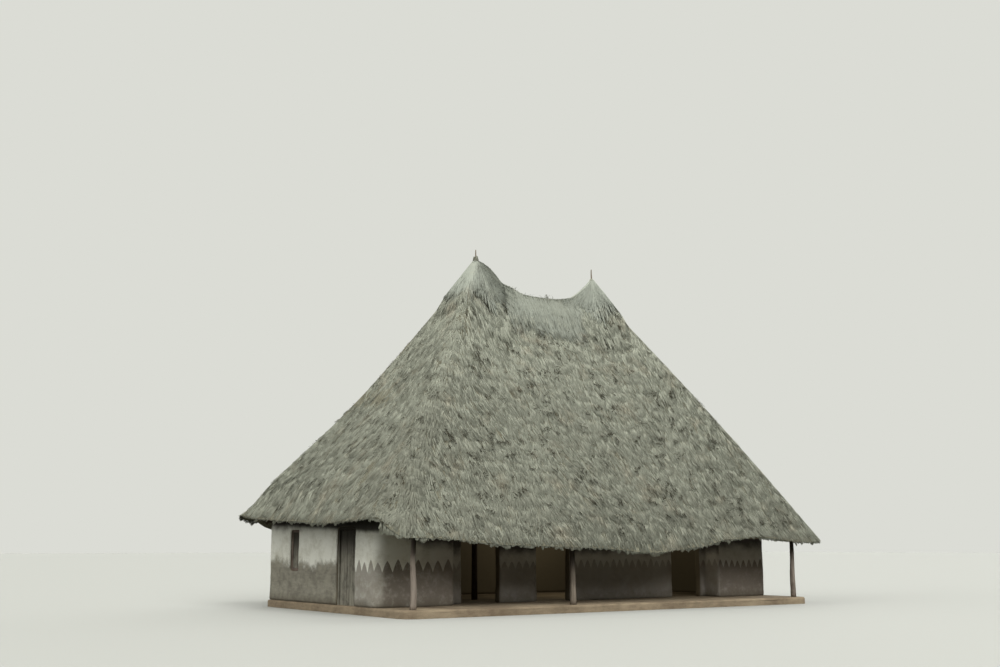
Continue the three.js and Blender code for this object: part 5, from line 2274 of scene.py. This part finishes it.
def make_woods(grain: Effect) -> dict[str, Material]:
    """Builds the finishes of all the wood.

    Args:
        grain: The grain effect.

    Returns:
        The materials by name.
    """
    dark = linear(50, 42, 35)
    # The shaded_wood is a darker copy of peeled_wood for the middle post: painted shade of the lowest eave.
    # The upper darkening of these woods is painted shade of the eaves, with some sooty staining: posts, door,
    # window.
    finishes = (
        WoodFinish(
            "peeled_wood", dark, linear(112, 101, 90), linear(144, 134, 122),
            soot_and_shade=0.9, soot_and_shade_from=1.15, soot_and_shade_to=1.7,
        ),
        WoodFinish(
            "shaded_wood", dark, linear(104, 94, 82), linear(136, 126, 112),
            soot_and_shade=0.92, soot_and_shade_from=0.5, soot_and_shade_to=1.4,
        ),
        WoodFinish("hewn_wood", linear(48, 40, 32), linear(112, 98, 82), linear(146, 134, 116)),
        WoodFinish(
            "split_boards", linear(44, 40, 33), linear(104, 100, 88), linear(156, 153, 138),
            soot_and_shade=0.92, soot_and_shade_from=1.1, soot_and_shade_to=1.85,
        ),
        WoodFinish(
            "window_wood", linear(48, 40, 34), linear(104, 90, 80), linear(136, 122, 110),
            soot_and_shade=0.5, soot_and_shade_from=1.6, soot_and_shade_to=2.0,
        ),
        WoodFinish("sooty_wood", linear(26, 22, 18), linear(74, 62, 50), linear(98, 84, 68)),
    )
    return {finish.name: finish.make(grain) for finish in finishes}


def main() -> None:
    """Builds the house piece by piece."""
    logging.basicConfig(level=logging.INFO, format="%(name)s: %(message)s")
    noise.seed_set(NOISE_SEED)
    studio = Studio()
    studio.make_camera()
    clay = clay_effect()
    woods = make_woods(grain_effect())
    wood, sooty, boards = woods["hewn_wood"], woods["sooty_wood"], woods["split_boards"]

    straw = StrawFinish(
        "weathered_grass", linear(68, 65, 50), linear(200, 203, 184), linear(176, 168, 146), bleach=0.15
    ).make()
    cap_straw = StrawFinish(
        "cap_grass", linear(102, 102, 88), linear(192, 198, 185), linear(180, 178, 160), bleach=0.08
    ).make()
    bed = BedFinish("packed_grass", linear(92, 89, 72), linear(152, 150, 130)).make()
    cap_bed = BedFinish("packed_cap_grass", linear(136, 138, 123), linear(174, 178, 163)).make()

    Platform().make(EarthFinish().make(clay))
    MudWalls().make(WashFinish().make(clay, tooth_effect()))
    details = DoorAndWindow()
    details.make_leaf(boards)
    details.make_frame("door_frame_timbers", "end_door_frame", False, boards)
    details.make_frame("window_frame_timbers", "window_frame", True, woods["window_wood"])
    details.make_shutter(boards)
    Frame().make(wood, woods["peeled_wood"], woods["shaded_wood"], sooty)
    for i, face in enumerate(Face):
        RoofPoles().make_face(face, sooty, 700 + 40 * i)

    PackedThatch().make(bed, cap_bed)
    own = {
        Face.FRONT: {"lean": 0.22, "foot": 0.07},
        Face.BACK: {"pitch": 0.184},
        # The left end's ridge_shade and corner are painted shade.
        Face.LEFT: {"ridge_shade": 0.09, "corner": 0.15},
        Face.RIGHT: {},
    }
    for i, face in enumerate(Face):
        FaceThatch(f"{face.name.lower()}_straw", face, 11 + i, **own[face]).make(straw)
    RidgeThatch().make(cap_straw)
    for cap in CAPS:
        cap.make(cap_straw, straw)

    studio.make_floor()
    studio.make_light()


if __name__ == "__main__":
    main()
